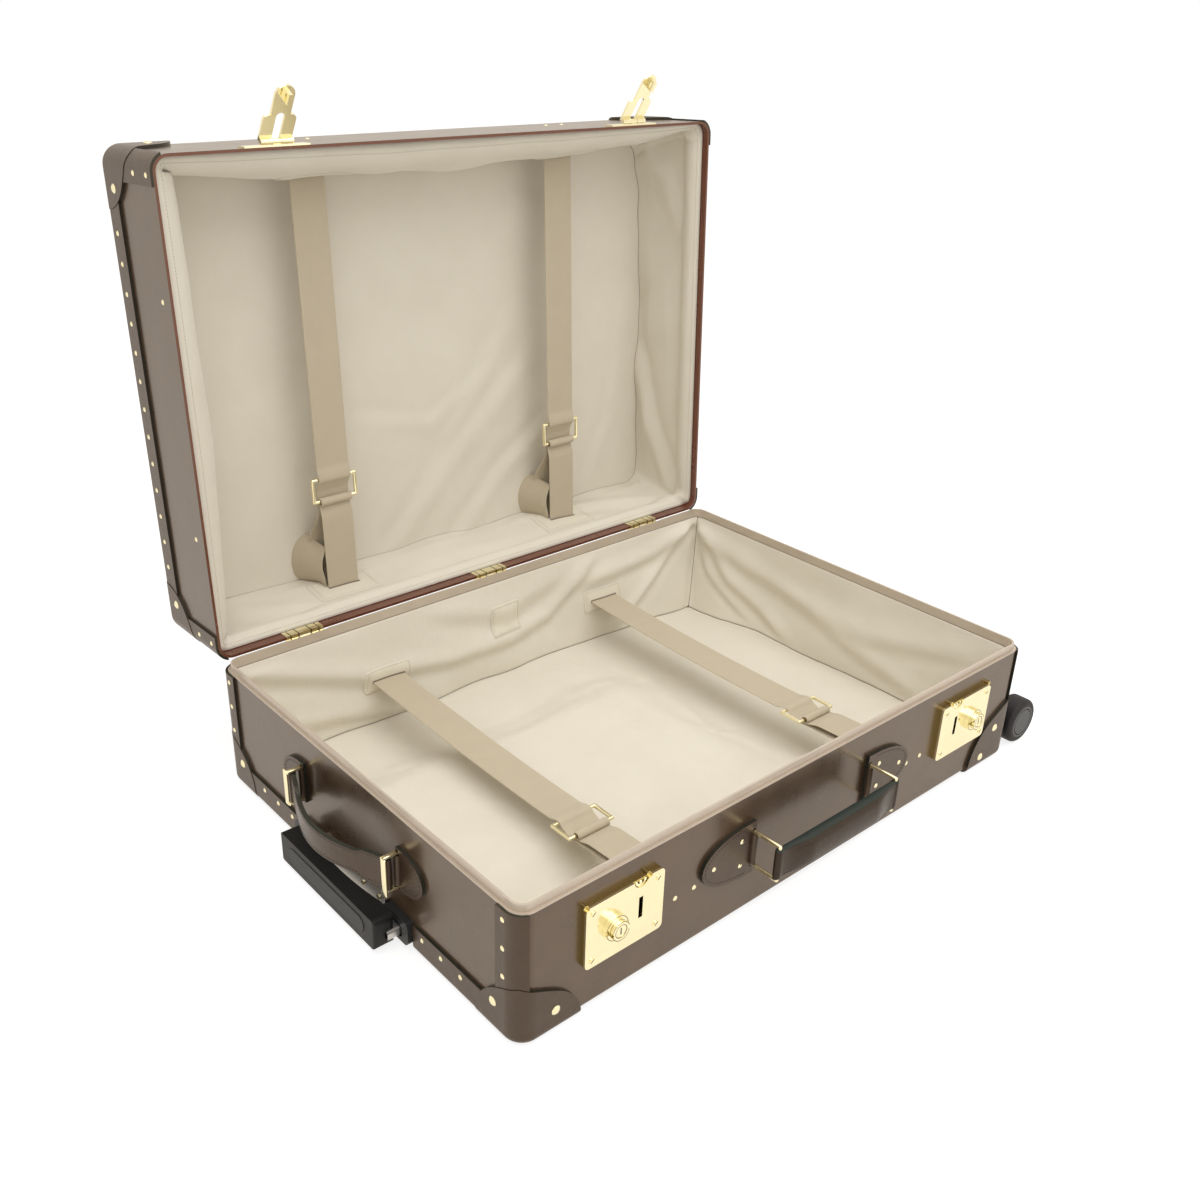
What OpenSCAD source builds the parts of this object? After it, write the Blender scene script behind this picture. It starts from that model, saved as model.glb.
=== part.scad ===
/* [Case] */
// Length of the fibre board case, end to end
case_l = 660; // [600:5:760]
// Width of the case, front to back
case_w = 468; // [430:2:520]
// Height of the base half, from its underside to the seam
base_h = 123.6; // [112:0.2:150]
// Height of the lid half, from the seam to its top
lid_h = 105; // [90:1:130]
// Thickness of the fibre board
board_t = 2.6; // [2:0.1:3.4]
// Radius of the four upright corners
corner_r = 15; // [10:1:24]
// Radius of the edges round the underside and round the lid's top
edge_r = 5; // [4:0.5:8]
// Gap between the two rims when the case is closed
rim_gap = 0.4; // [0.3:0.1:0.8]
// Angle of the lid at rest, counted from closed
lid_rest = 92.5; // [90:0.5:95]

/* [Rim lip] */
// Thickness of the lip that enters the lid
lip_t = 2; // [1.6:0.1:3]
// Height of the lip above the seam
lip_up = 6.5; // [4:0.5:9]
// Reach of the lip down inside the base
lip_down = 12; // [9:0.5:20]
// Thickness of the flange that covers the base's raw edge
flange_t = 0.8; // [0.6:0.1:1.2]
// Clearance between the lip and the lid's board
lip_gap = 0.3; // [0.25:0.05:0.6]

/* [Leather] */
// Thickness of the leather corners
leather_t = 3; // [2.8:0.1:4]
// Thickness of the leather strips
strip_t = 2.5; // [2:0.1:2.7]
// Length of a corner along the long sides
cap_side_l = 60; // [50:1:80]
// Length of a corner along the end walls
cap_end_l = 52; // [45:1:70]
// Height of a corner's lobes
cap_lobe_h = 47; // [38:1:60]
// Height of a corner at the upright edge
cap_top_h = 55; // [48:1:70]
// Length of a wheel-end corner along the long sides
wheel_cap_l = 69; // [60:1:80]
// Height of a wheel-end corner's lobes
wheel_cap_lobe_h = 61; // [50:1:70]
// Height of a wheel-end corner at the upright edge
wheel_cap_top_h = 69; // [60:1:80]
// Width of the upright corner strips on the end walls
strip_w = 26; // [20:1:36]
// Height of the edge strips on the end walls
edge_strip_h = 25.5; // [22:0.5:34]
// Reach of the edge strips under the base and over the lid's top
edge_strip_under = 12; // [8:1:30]
// Gap between neighbouring pieces of leather
leather_gap = 0.3; // [0.2:0.1:0.6]
// Radius of the small rivets
rivet_r = 2.4; // [1.8:0.1:3]
// Radius of the large corner rivets
cap_rivet_r = 4.2; // [3:0.1:5]
// Spacing of the rivets along the strips
rivet_pitch = 27; // [22:1:34]
// Height of the edge strip's rivets above the underside
edge_rivet_h = 18.5; // [12:0.5:20]

/* [Linings and straps] */
// Thickness of the cloth linings
lining_t = 1.2; // [1:0.1:2]
// Radius of the linings' soft edges
lining_r = 16; // [10:1:24]
// Height of the base lining's floor above the board
lining_floor_h = 5; // [4:0.5:8]
// Depth of bare board inside the lid's rim
lid_bare_h = 12.5; // [12:0.5:18]
// Width of the packing straps
strap_w = 38; // [30:1:50]
// Thickness of the packing straps
strap_t = 1.8; // [1.4:0.1:2.4]
// Distance of each packing strap from the middle
strap_x = 155; // [120:1:190]
// Height of the base straps' ends above the underside
base_strap_h = 57.5; // [50:0.5:75]
// Height of the lid straps above the rim
lid_strap_h = 62; // [50:1:70]
// Place of the base buckles, from the middle towards the front
base_buckle_y = -103; // [-140:1:-80]
// Place of the lid buckles, from the middle towards the hinge
lid_buckle_y = 111; // [90:1:150]
// Radius of the buckle wire
buckle_wire_r = 1.9; // [1.5:0.1:2.4]

/* [Hinges] */
// Distance of the hinge pin behind the back wall
hinge_out = 3.5; // [3.3:0.1:5]
// Radius of a hinge knuckle
knuckle_r = 3; // [2.6:0.1:3.1]
// Radius of a hinge pin
hinge_pin_r = 1.4; // [1:0.1:1.8]
// Length of one knuckle
knuckle_l = 14; // [10:1:20]
// Distance of the outer hinges from the middle
hinge_x = 237; // [200:1:250]
// Thickness of the lid's hinge leaves
leaf_t = 1; // [0.8:0.1:1.1]

/* [Locks] */
// Distance of each lock from the middle
lock_x = 229.5; // [215:0.5:240]
// Height of the base's rim above the middle of a lock
lock_drop = 46.1; // [43:0.5:50]
// Width of a lock plate
lock_w = 82; // [78:1:90]
// Height of a lock plate
lock_h = 60; // [58:1:66]
// Thickness of the lock case behind the plate
lock_case_t = 4; // [3.6:0.1:5]
// Thickness of the lock plate
lock_plate_t = 2; // [1.6:0.1:2.6]
// Distance of the slot from the lock's middle, towards the handle
slot_x = 16; // [14:0.5:17]
// Width of the slot
slot_w = 4.3; // [4:0.1:5]
// Height of the slot
slot_h = 20.5; // [19.5:0.5:24]
// Distance of the turning knob from the lock's middle, away from the handle
knob_x = 12.6; // [12.4:0.1:14]
// Radius of the knob's flange
knob_r = 11.7; // [10:0.1:12.5]
// Reach of the knob in front of the plate
knob_out = 9; // [8.5:0.5:12]
// Turn of the knob between unlocked and locked
knob_turn = 40; // [36:1:42]

/* [Hasps] */
// Distance of the hasp pin in front of the lid
hasp_out = 4.4; // [4.2:0.1:5.5]
// Height of the hasp pin above the lid's rim
hasp_up = 2.6; // [2.5:0.1:3.5]
// Length of a hasp from its pin
hasp_l = 54; // [53:0.5:58]
// Width across a hasp's two legs
hasp_w = 32; // [29:0.5:34]
// Thickness of a hasp's plate
hasp_t = 2.4; // [2:0.1:3]
// Angle of the hasps at rest, counted from flat on the lock
hasp_rest = 55; // [40:1:80]

/* [Front handle] */
// Height of the front handle's middle
handle_z = 72; // [68:0.5:76]
// Distance of each ring's inner bar from the middle
ring_x = 79.5; // [70:0.5:95]
// Distance between a ring's upper and lower arm
ring_h = 34; // [30:0.5:40]
// Radius of the ring wire
ring_wire_r = 1.5; // [1.2:0.1:2]
// Distance of a ring's inner bar from the front wall
ring_out = 4.6; // [4.4:0.1:6]
// Reach of a ring from its inner to its outer bar
ring_reach = 27.4; // [24:0.2:32]
// Length of a handle chape
chape_l = 64; // [50:1:75]
// Height of a handle chape
chape_h = 54; // [50:1:60]
// Thickness of the chapes
chape_t = 3.6; // [3:0.1:4]

/* [Side handle] */
// Height of the side handle's middle
side_z = 77; // [74:0.5:84]
// Distance of each side ring's inner bar from the middle
side_ring_y = 78; // [70:0.5:90]
// Reach of a side ring from its inner to its outer bar
side_reach = 9; // [8.5:0.5:16]
// Length of a side chape
side_chape_l = 38; // [30:1:50]
// Height of a side chape
side_chape_h = 42; // [38:1:52]
// Bow of the side strap beyond its rings
side_bow = 22; // [14:1:26]
// Thickness of the side strap
side_strap_t = 4.4; // [3.5:0.1:6]

/* [Trolley] */
// Distance of each trolley tube from the middle
tube_y = 75; // [68:1:82]
// Height of the trolley tubes' axis
tube_z = 17; // [16:0.5:20]
// Width of the outer tube
tube_w = 22; // [20:0.5:24]
// Height of the outer tube
tube_h = 15; // [13:0.5:16]
// Wall of the tubes
tube_wall = 1.2; // [1:0.1:1.3]
// Clearance between one tube and the next
tube_gap = 0.2; // [0.15:0.05:0.3]
// Length of the outer tubes
tube_l = 390; // [330:5:420]
// Length of the grip
grip_l = 160; // [150:1:180]
// Height of the grip
grip_h = 30; // [27:0.5:32]
// Thickness of the grip
grip_t = 19.5; // [17:0.5:24]
// Gap between the grip and the end wall
grip_gap = 10.5; // [9.5:0.5:16]
// Length of the release bar in the grip
button_l = 126; // [100:1:132]
// Height of the release bar
button_h = 16; // [12:0.5:18]
// Travel of the release bar
button_travel = 2.5; // [2:0.1:3]

/* [Wheels] */
// Radius of a wheel
wheel_r = 25; // [22:0.5:27]
// Width of a wheel
wheel_w = 23; // [18:0.5:26]
// Distance of the wheel axis beyond the end wall
wheel_out = 31; // [31:0.5:36]
// Height of the wheels above the floor when the case lies flat
wheel_lift = 0.4; // [0.3:0.1:3]
// Radius of a wheel's axle
axle_r = 4; // [3:0.1:5]
// Thickness of a wheel's tyre
tyre_t = 7; // [5:0.5:9]

/* [Hidden] */
$fn = 48;
fit = 0.05;
half_l = case_l / 2;
half_w = case_w / 2;
seam_z = leather_t + base_h;
rim_z = seam_z + rim_gap;
lid_shell_h = lid_h - rim_gap;
front = -half_w;
lip_in = board_t + lip_gap;
lining_in = lip_in + lip_t + 0.1;
hinge_y = half_w + hinge_out;
lock_front = front - lock_case_t - lock_plate_t;
lock_z = base_h - lock_drop;
knob_z = lock_z + 0.5;
slot_z = lock_z + 3;
lock_slot_back_w = 8;
hasp_y = front - hasp_out;
hasp_z = rim_z + hasp_up;
hasp_x = lock_x - slot_x;
hasp_offset = lock_case_t + lock_plate_t + 0.8 - hasp_out;
staple_top = hasp_z - slot_z - 8.6;
staple_l = 10.5;
staple_reach = 8.6;
lock_floor_t = 1.6;
cam_t = 1.7;
cam_l = 31.8;
cam_tilt = 11.9;
ring_y = front - ring_out;
ring_end_y = ring_y - ring_reach;
side_x = -half_l - ring_out + 0.6;
side_end_x = side_x - side_reach;
grip_x = -half_l - grip_gap - grip_t;
mid_w = tube_w - 2 * (tube_wall + tube_gap);
mid_h = tube_h - 2 * (tube_wall + tube_gap);
inner_w = mid_w - 2 * (tube_wall + tube_gap);
inner_h = mid_h - 2 * (tube_wall + tube_gap);
wheel_x = half_l + wheel_out;
wheel_z = wheel_r + wheel_lift;
wheel_y = half_w + leather_t - 0.5 - wheel_w / 2;
bezel_w = 38;
bezel_h = 24;
fitting_half_w = tube_y + bezel_w / 2;
strap_run = half_w - lining_in - lining_t - 0.3;
open_tilt = lid_rest - 90;
lid_back_y = hinge_y + (lid_h + leather_t) * cos(open_tilt) + (case_w + hinge_out) * sin(open_tilt);
handle_front_y = ring_end_y - 6.7;
strap_left_x = side_end_x - side_bow - side_strap_t / 2;
origin_x = (wheel_x + wheel_r + strap_left_x) / 2;
origin_y = (lid_back_y + handle_front_y) / 2;

// Frames that the pieces are placed in

module placed() translate([-origin_x, -origin_y, 0]) children();
module opened() translate([0, hinge_y, seam_z]) rotate([-lid_rest, 0, 0])
    translate([0, -hinge_y, -seam_z]) children();
// Both halves are drawn standing on their flat side, with the rim up
module base_half() translate([0, 0, leather_t]) children();
module lid_half() opened() translate([0, 0, seam_z + lid_h]) mirror([0, 0, 1]) children();
module four_corners() for (mx = [0, 1], my = [0, 1]) mirror([mx, 0, 0]) mirror([0, my, 0]) children();
module left_and_right() for (m = [0, 1]) mirror([m, 0, 0]) children();
module front_and_rear() for (m = [0, 1]) mirror([0, m, 0]) children();
module along_x(l) rotate([0, 90, 0]) linear_extrude(l, center = true) children();
module facing_front(t) rotate([90, 0, 0]) linear_extrude(t) children();
module facing_left(t) rotate([90, 0, -90]) linear_extrude(t) children();

// Shapes that repeat

module rounded_rect(l, w, r) {
    square([l - 2 * r, w], center = true);
    square([l, w - 2 * r], center = true);
    for (sx = [-1, 1], sy = [-1, 1]) translate([sx * (l / 2 - r), sy * (w / 2 - r)]) circle(r);
}

module rounded_foot(l, h, r) {
    translate([-l / 2, r]) square([l, h - r]);
    translate([r - l / 2, 0]) square([l - 2 * r, h]);
    for (s = [-1, 1]) translate([s * (l / 2 - r), r]) circle(r);
}

// A box with round upright corners and a round edge underneath that is swept round the corners
module soft_box(l, w, h, r, e) {
    round_r = max(r, e + 0.5);
    rotate([90, 0, 0]) linear_extrude(w - 2 * round_r, center = true) rounded_foot(l, h, e);
    rotate([90, 0, 90]) linear_extrude(l - 2 * round_r, center = true) rounded_foot(w, h, e);
    for (sx = [-1, 1], sy = [-1, 1]) translate([sx * (l / 2 - round_r), sy * (w / 2 - round_r), 0])
        rotate_extrude() intersection() {
            rounded_foot(2 * round_r, h, e);
            square([round_r, h]);
        }
}

module case_box(inset, h) soft_box(case_l - 2 * inset, case_w - 2 * inset, h,
    corner_r - inset, max(edge_r - inset, 0.5));

module skin(t, h) difference() {
    translate([0, 0, -t]) case_box(-t, h + t);
    case_box(0, h + 1);
}

// A ring that follows the case's walls between two insets
module wall_ring(from, to, h) linear_extrude(h) difference() {
    rounded_rect(case_l - 2 * from, case_w - 2 * from, corner_r - from);
    rounded_rect(case_l - 2 * to, case_w - 2 * to, max(corner_r - to, 1));
}

module dome(r, h) {
    ball_r = (r * r + h * h) / (2 * h);
    intersection() {
        translate([0, 0, h - ball_r]) sphere(ball_r);
        cylinder(h = h, r = r + 1);
    }
}

module rivet_left(y, z, r, t) translate([-half_l - t, y, z]) rotate([0, -90, 0]) dome(r, r * 0.42);
module rivet_front(x, z, r, t) translate([x, front - t, z]) rotate([90, 0, 0]) dome(r, r * 0.42);

// Outline of one ear of a leather corner: distance from the corner, height
function ear(l, lobe, top) = concat([[-20, -20], [l, -20]],
    [for (i = [0:14]) let (a = i * 90 / 14, u = l * cos(a))
        [u, lobe * sin(a) + (top - lobe) * pow(max(0, 1 - u / 32), 1.5)]],
    [[-20, top]]);

module cap_zone(side_l, end_l, lobe, top, grow) intersection() {
    translate([-half_l, 0, 0]) rotate([90, 0, 0]) linear_extrude(2 * case_w)
        polygon(ear(side_l + grow, lobe + grow, top + grow));
    translate([-half_l - 20, -half_w, 0]) rotate([90, 0, 90]) linear_extrude(case_l)
        polygon(ear(end_l + grow, lobe + grow + 2, top + grow));
    translate([-half_l, -half_w, -20]) cylinder(h = top + 40, r = side_l + 2 + grow);
}

module corner_cap(side_l, end_l, lobe, top) intersection() {
    skin(leather_t, top + 2);
    cap_zone(side_l, end_l, lobe, top, 0);
}

module plain_cap_zone(grow) cap_zone(cap_side_l, cap_end_l, cap_lobe_h, cap_top_h, grow);
module wheel_cap_zone(grow) cap_zone(wheel_cap_l, cap_end_l, wheel_cap_lobe_h, wheel_cap_top_h, grow);

// Strip that wraps one upright corner, over the end wall
module corner_strip(h) difference() {
    intersection() {
        skin(strip_t, h);
        translate([-half_l - 10, -half_w - 10, 0]) cube([10 + corner_r * 0.6, 10 + strip_w, h]);
    }
    children();
}

// Strip along the end wall's far edge, between the corners
module edge_strip() intersection() {
    skin(strip_t, edge_strip_h + 2);
    translate([-half_l - 10, -half_w, -10]) cube([10 + edge_strip_under, case_w, edge_strip_h + 10]);
}

function edge_rivet_ys(clear) = [for (i = [-6:6]) if (abs(i) * rivet_pitch >= clear
    && abs(i) * rivet_pitch < half_w - cap_end_l - rivet_r) i * rivet_pitch];
function corner_rivet_hs(h) = [for (i = [0:2]) h - 9.5 - i * rivet_pitch];

// Strip of cloth or leather seen along X: points are [y, z] along its middle
module band(points, w, t) {
    n = len(points) - 1;
    rotate([90, 0, 90]) linear_extrude(w, center = true)
        polygon(concat([for (i = [0:n]) points[i] + [0, t / 2]],
            [for (i = [n:-1:0]) points[i] - [0, t / 2]]));
}

function smooth(x) = let (c = min(1, max(0, x))) c * c * (3 - 2 * c);

// A bar of wire from one point to another, with a ball at each end
module wire(p, q, r) {
    d = q - p;
    l = norm(d);
    translate(p) rotate([0, acos(d[2] / l), atan2(d[1], d[0])]) cylinder(h = l, r = r);
    translate(p) sphere(r);
    translate(q) sphere(r);
}

// Base half

module base_shell() color([0.45, 0.40, 0.36]) difference() {
    base_half() case_box(0, base_h - flange_t);
    base_half() translate([0, 0, board_t]) case_box(board_t, base_h);
    for (s = [-1, 1]) translate([-half_l, s * tube_y, tube_z]) along_x(4 * board_t)
        rounded_rect(tube_h + 0.6, tube_w + 0.6, 4);
    left_and_right() translate([-hasp_x, front, slot_z]) cube([lock_slot_back_w, 4 * board_t, slot_h + 3],
        center = true);
}

module rim_lip() color([0.80, 0.74, 0.68]) difference() {
    union() {
        translate([0, 0, seam_z - flange_t]) wall_ring(0, lip_in + lip_t, flange_t);
        translate([0, 0, seam_z - lip_down]) wall_ring(board_t, lip_in + lip_t, lip_down);
        translate([0, 0, seam_z - flange_t]) wall_ring(lip_in, lip_in + lip_t, flange_t + lip_up);
    }
    hinge_places() translate([0, half_w - lip_in, seam_z + 10]) cube([3 * knuckle_l + 1, 1.6, 20], center = true);
}

// Space under the raised part of the floor, which covers both trolley tubes
module tube_cover(r) translate([-half_l, 0, leather_t + 5.5]) {
    l = tube_l + 6;
    for (s = [-1, 1]) translate([0, s * tube_y, 0]) {
        rotate([0, 90, 0]) cylinder(h = l, r = r);
        translate([l, 0, 0]) sphere(r);
    }
    translate([0, -tube_y, -r]) cube([l, 2 * tube_y, 2 * r]);
    translate([l, -tube_y, 0]) rotate([-90, 0, 0]) cylinder(h = 2 * tube_y, r = r);
}

module base_lining() color([0.85, 0.80, 0.70]) {
    cover_r = tube_h / 2 + 12;
    h = base_h - 3.5 - board_t - lining_floor_h;
    floor_z = leather_t + board_t + lining_floor_h;
    difference() {
        translate([0, 0, floor_z]) soft_box(case_l - 2 * lining_in, case_w - 2 * lining_in, h,
            corner_r - lining_in, lining_r);
        difference() {
            translate([0, 0, floor_z + lining_t]) soft_box(case_l - 2 * (lining_in + lining_t),
                case_w - 2 * (lining_in + lining_t), h, corner_r - lining_in - lining_t, lining_r - lining_t);
            tube_cover(cover_r);
        }
        tube_cover(cover_r - lining_t);
    }
}

module base_corner_caps() color([0.44, 0.40, 0.36]) base_half() {
    front_and_rear() corner_cap(cap_side_l, cap_end_l, cap_lobe_h, cap_top_h);
    mirror([1, 0, 0]) front_and_rear() corner_cap(wheel_cap_l, cap_end_l, wheel_cap_lobe_h, wheel_cap_top_h);
}

module base_edge_strips() color([0.48, 0.43, 0.40]) base_half() {
    difference() {
        edge_strip();
        front_and_rear() plain_cap_zone(leather_gap);
        cube([2 * case_l, 2 * (fitting_half_w + leather_gap), 100], center = true);
    }
    mirror([1, 0, 0]) difference() {
        edge_strip();
        front_and_rear() wheel_cap_zone(leather_gap);
    }
}

module base_corner_strips() color([0.50, 0.46, 0.42]) base_half() {
    front_and_rear() corner_strip(base_h - flange_t) plain_cap_zone(leather_gap);
    mirror([1, 0, 0]) front_and_rear() corner_strip(base_h - flange_t) wheel_cap_zone(leather_gap);
}

module base_rivets() color([0.85, 0.70, 0.35]) {
    base_half() {
        for (y = edge_rivet_ys(fitting_half_w + 4)) rivet_left(y, edge_rivet_h, rivet_r, strip_t);
        mirror([1, 0, 0]) for (y = edge_rivet_ys(0)) rivet_left(y, edge_rivet_h, rivet_r, strip_t);
        front_and_rear() for (z = corner_rivet_hs(base_h)) rivet_left(17 - half_w, z, rivet_r, strip_t);
        mirror([1, 0, 0]) front_and_rear() for (i = [0, 1])
            rivet_left(17 - half_w, corner_rivet_hs(base_h)[i], rivet_r, strip_t);
        left_and_right() for (x = [146, 168]) rivet_front(x, 58, rivet_r, 0);
    }
    left_and_right() for (p = [[17, 12.5], [17, -12.5], [50, 0]])
        rivet_front(ring_x + p[0] - 2.5, handle_z + p[1], rivet_r, chape_t);
}

module base_cap_rivets() color([0.85, 0.70, 0.35]) base_half() {
    front_and_rear() {
        rivet_left(29 - half_w, 27, cap_rivet_r, leather_t);
        rivet_front(34 - half_l, 19, cap_rivet_r, leather_t);
    }
    mirror([1, 0, 0]) front_and_rear() {
        rivet_front(29 - half_l, 39, cap_rivet_r, leather_t);
        rivet_front(48 - half_l, 10.5, cap_rivet_r, leather_t);
    }
}

// Leather patch round a strap's slit, on the lining of the rear wall, seen from inside
module patch(l, h, slit) translate([0, half_w - lining_in - lining_t, 0]) facing_front(1) difference() {
    rounded_rect(l, h, 6);
    square([slit, 2.6], center = true);
}

module base_patches() color([0.74, 0.70, 0.60]) {
    for (s = [-1, 1], m = [0, 1]) mirror([0, m, 0])
        translate([s * strap_x, 0, leather_t + base_strap_h]) patch(58, 28, strap_w + 2);
    translate([7, half_w - lining_in - lining_t, leather_t + 75.5]) facing_front(1) rounded_rect(42, 36, 3);
}

function base_sag(y) = leather_t + base_strap_h - 7 * (1 - pow(y / strap_run, 2));
// Both straps go through a buckle together: under its far bar and over its near bar, the short one on top.
// s is the distance past the buckle's middle, towards its near bar.
strap_layer = strap_t + 0.1;
function through_buckle(s) = let (up = smooth((s + 10) / 20), down = smooth((s - 14) / 20),
        level = buckle_wire_r + 0.1 + strap_t / 2)
    up * (level - (level + strap_layer) * down) - (1 - up) * (level + strap_layer) * smooth((80 + s) / 60);
// Stations along a strap, close together where it goes through the buckle
function strap_ys(y0, yb, y1) = let (d = sign(y1 - y0), near = 36)
    concat([for (i = [0:9]) y0 + i * (yb - d * near - y0) / 10],
        [for (i = [0:24]) yb + d * near * (i / 12 - 1)],
        [for (i = [1:4]) yb + d * near + i * (y1 - yb - d * near) / 4]);
function short_strap_ys(yb, y1) = let (d = sign(y1 - yb))
    concat([for (i = [0:19]) yb + d * (3 * i - 24)], [for (i = [1:4]) yb + d * 33 + i * (y1 - yb - d * 33) / 4]);

module base_straps() color([0.74, 0.70, 0.60]) for (s = [-1, 1]) translate([s * strap_x, 0, 0])
    band([for (y = strap_ys(strap_run, base_buckle_y, -205))
        [y, base_sag(y) + through_buckle(base_buckle_y - y)]], strap_w, strap_t);

module base_buckle_straps() color([0.74, 0.70, 0.60]) for (s = [-1, 1]) translate([s * strap_x, 0, 0])
    band([for (y = short_strap_ys(base_buckle_y, -strap_run))
        [y, base_sag(y) + through_buckle(base_buckle_y - y) + strap_layer]], strap_w - 1, strap_t);

// Wire frame with a ball at each corner; its middle lies at the origin
module buckle() {
    hx = strap_w / 2 + 6;
    for (s = [-1, 1]) {
        wire([-hx, s * 12, 0], [hx, s * 12, 0], buckle_wire_r);
        wire([s * hx, -12, 0], [s * hx, 12, 0], buckle_wire_r);
    }
}

module base_buckles() color([0.85, 0.70, 0.35]) for (s = [-1, 1])
    translate([s * strap_x, base_buckle_y, base_sag(base_buckle_y - 12)]) buckle();

// Locks, drawn for the left one

module at_left_lock() translate([-lock_x, front, 0]) children();

module lock_cases() color([0.72, 0.58, 0.28]) left_and_right() at_left_lock() difference() {
    union() {
        translate([0, 0, lock_z]) facing_front(lock_case_t) rounded_rect(lock_w, lock_h, 4.5);
        for (x = [-40, 25]) translate([x, 0, lock_z + lock_h / 2]) facing_front(lock_case_t) circle(2.3);
    }
    translate([-1.5, -lock_floor_t, lock_z - 0.5]) facing_front(lock_case_t)
        rounded_rect(68, lock_h - 4, 4);
    translate([slot_x, 0, slot_z]) cube([lock_slot_back_w, 4 * lock_case_t, slot_h + 3], center = true);
}

module lock_plates() color([0.93, 0.84, 0.55]) left_and_right() at_left_lock() translate([0, -lock_case_t, 0])
    difference() {
        translate([0, 0, lock_z]) facing_front(lock_plate_t) rounded_rect(lock_w, lock_h, 4.5);
        translate([slot_x, 0, slot_z]) cube([slot_w, 4 * lock_plate_t, slot_h], center = true);
        translate([slot_x, 1, lock_z + lock_h / 2 + 1]) facing_front(lock_plate_t + 2) circle(8);
        translate([-knob_x, 1, knob_z]) facing_front(lock_plate_t + 2) circle(4 + fit);
        for (x = [-40, 25]) translate([x, 1, lock_z + lock_h / 2]) facing_front(lock_plate_t + 2) circle(2.4);
    }

module slotted_head(r, h) difference() {
    cylinder(h = h, r = r);
    translate([0, 0, h]) cube([2 * r + 1, 0.7, h], center = true);
}

module screws() color([0.88, 0.76, 0.42]) {
    left_and_right() at_left_lock() for (sx = [-1, 1], sz = [-1, 1])
        translate([sx * (lock_w / 2 - 7), lock_front - front, lock_z + sz * (lock_h / 2 - 7)])
            rotate([90, 0, 0]) rotate([0, 0, 40]) slotted_head(2.4, 0.9);
    for (y = [-46, -21, 21, 46]) translate([-half_l - 4, y, tube_z + 10.5])
        rotate([0, -90, 0]) slotted_head(2.6, 1);
}

// The knob's cam reaches through the hasp's staple when it is locked
module lock_knob() at_left_lock() translate([-knob_x, -lock_case_t, knob_z]) {
    face = -lock_plate_t - fit;
    difference() {
        union() {
            translate([0, 0.1, 0]) facing_front(-face + 1) circle(4);
            translate([0, face, 0]) facing_front(4.5) circle(knob_r);
            translate([0, face - 4.5, 0]) facing_front(knob_out - 4.5) circle(9);
        }
        translate([0, face - 4.5, 0]) facing_front(knob_out) circle(5.5 + fit);
        for (s = [-1, 1]) translate([s * 9.5, face - knob_out + 2.5, 0]) cube([4, 6, 4.5], center = true);
    }
    translate([0, cam_t + 0.1, 0]) rotate([0, knob_turn - cam_tilt, 0]) facing_front(cam_t) {
        circle(6);
        translate([0, -2.2]) square([cam_l, 4.4]);
    }
}

module key_cylinder() at_left_lock() translate([-knob_x, lock_front - front - fit - 4.6, knob_z]) difference() {
    facing_front(knob_out - 5) circle(5.5);
    translate([0, 4.8 - knob_out, 0]) cube([1.2, 6, 6.5], center = true);
}

// Handles

module wire_ring(reach, h, r) {
    for (z = [-h / 2, h / 2]) wire([0, 0, z], [0, -reach, z], r);
    for (y = [0, -reach]) wire([0, y, -h / 2], [0, y, h / 2], r);
}

// Leather pad that holds a ring's inner bar in a rolled edge, for a bar at the origin
module chape(l, h, out) difference() {
    union() {
        translate([-2.5, out, 0]) facing_front(chape_t) polygon(concat([[0, -h / 2]],
            [for (i = [-8:8]) let (a = i * 90 / 8) [l * pow(cos(a), 0.8), h / 2 * sin(a)]], [[0, h / 2]]));
        cylinder(h = ring_h - 2 * ring_wire_r - 1, r = ring_wire_r + 1.9, center = true);
        translate([-ring_wire_r - 1.9, 0, 0.5 + ring_wire_r - ring_h / 2])
            cube([2 * (ring_wire_r + 1.9), out - chape_t + 1, ring_h - 2 * ring_wire_r - 1]);
    }
    cylinder(h = ring_h + 1, r = ring_wire_r + fit, center = true);
    for (s = [-1, 1]) translate([0, 0, s * ring_h / 2]) {
        cylinder(h = 4 * ring_wire_r, r = ring_wire_r + 0.5, center = true);
        rotate([90, 0, 45]) cylinder(h = 8, r = ring_wire_r + 0.4);
    }
}

module handle_chapes() color([0.43, 0.40, 0.35]) left_and_right() translate([ring_x, ring_y, handle_z])
    chape(chape_l, chape_h, ring_out);

module side_chapes() color([0.43, 0.40, 0.35]) front_and_rear() translate([side_x, side_ring_y, side_z])
    rotate([0, 0, -90]) mirror([1, 0, 0]) chape(side_chape_l, side_chape_h, ring_out - 0.6);

module front_ring() translate([ring_x, ring_y, handle_z]) wire_ring(ring_reach, ring_h, ring_wire_r);
module side_ring() translate([side_x, side_ring_y, side_z]) rotate([0, 0, -90])
    wire_ring(side_reach, ring_h, ring_wire_r);

function grip_swell(x) = smooth((ring_x - 4 - abs(x)) / 30);

module handle_grip() color([0.43, 0.40, 0.35]) {
    h = ring_h - 2 * ring_wire_r - 1;
    n = 28;
    xs = [for (i = [0:n]) -ring_x + i * 2 * ring_x / n];
    translate([0, ring_end_y, handle_z - h / 2]) difference() {
        union() {
            linear_extrude(h) polygon(concat([for (x = xs) [x, -3.2 - 3.5 * grip_swell(x)]],
                [for (i = [n:-1:0]) [xs[i], 3.2 + 1.8 * grip_swell(xs[i])]]));
            for (s = [-1, 1]) translate([s * ring_x, 0, 0]) cylinder(h = h, r = ring_wire_r + 2.3);
        }
        for (s = [-1, 1]) translate([s * ring_x, 0, -1]) cylinder(h = h + 2, r = ring_wire_r + fit);
    }
}

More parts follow.
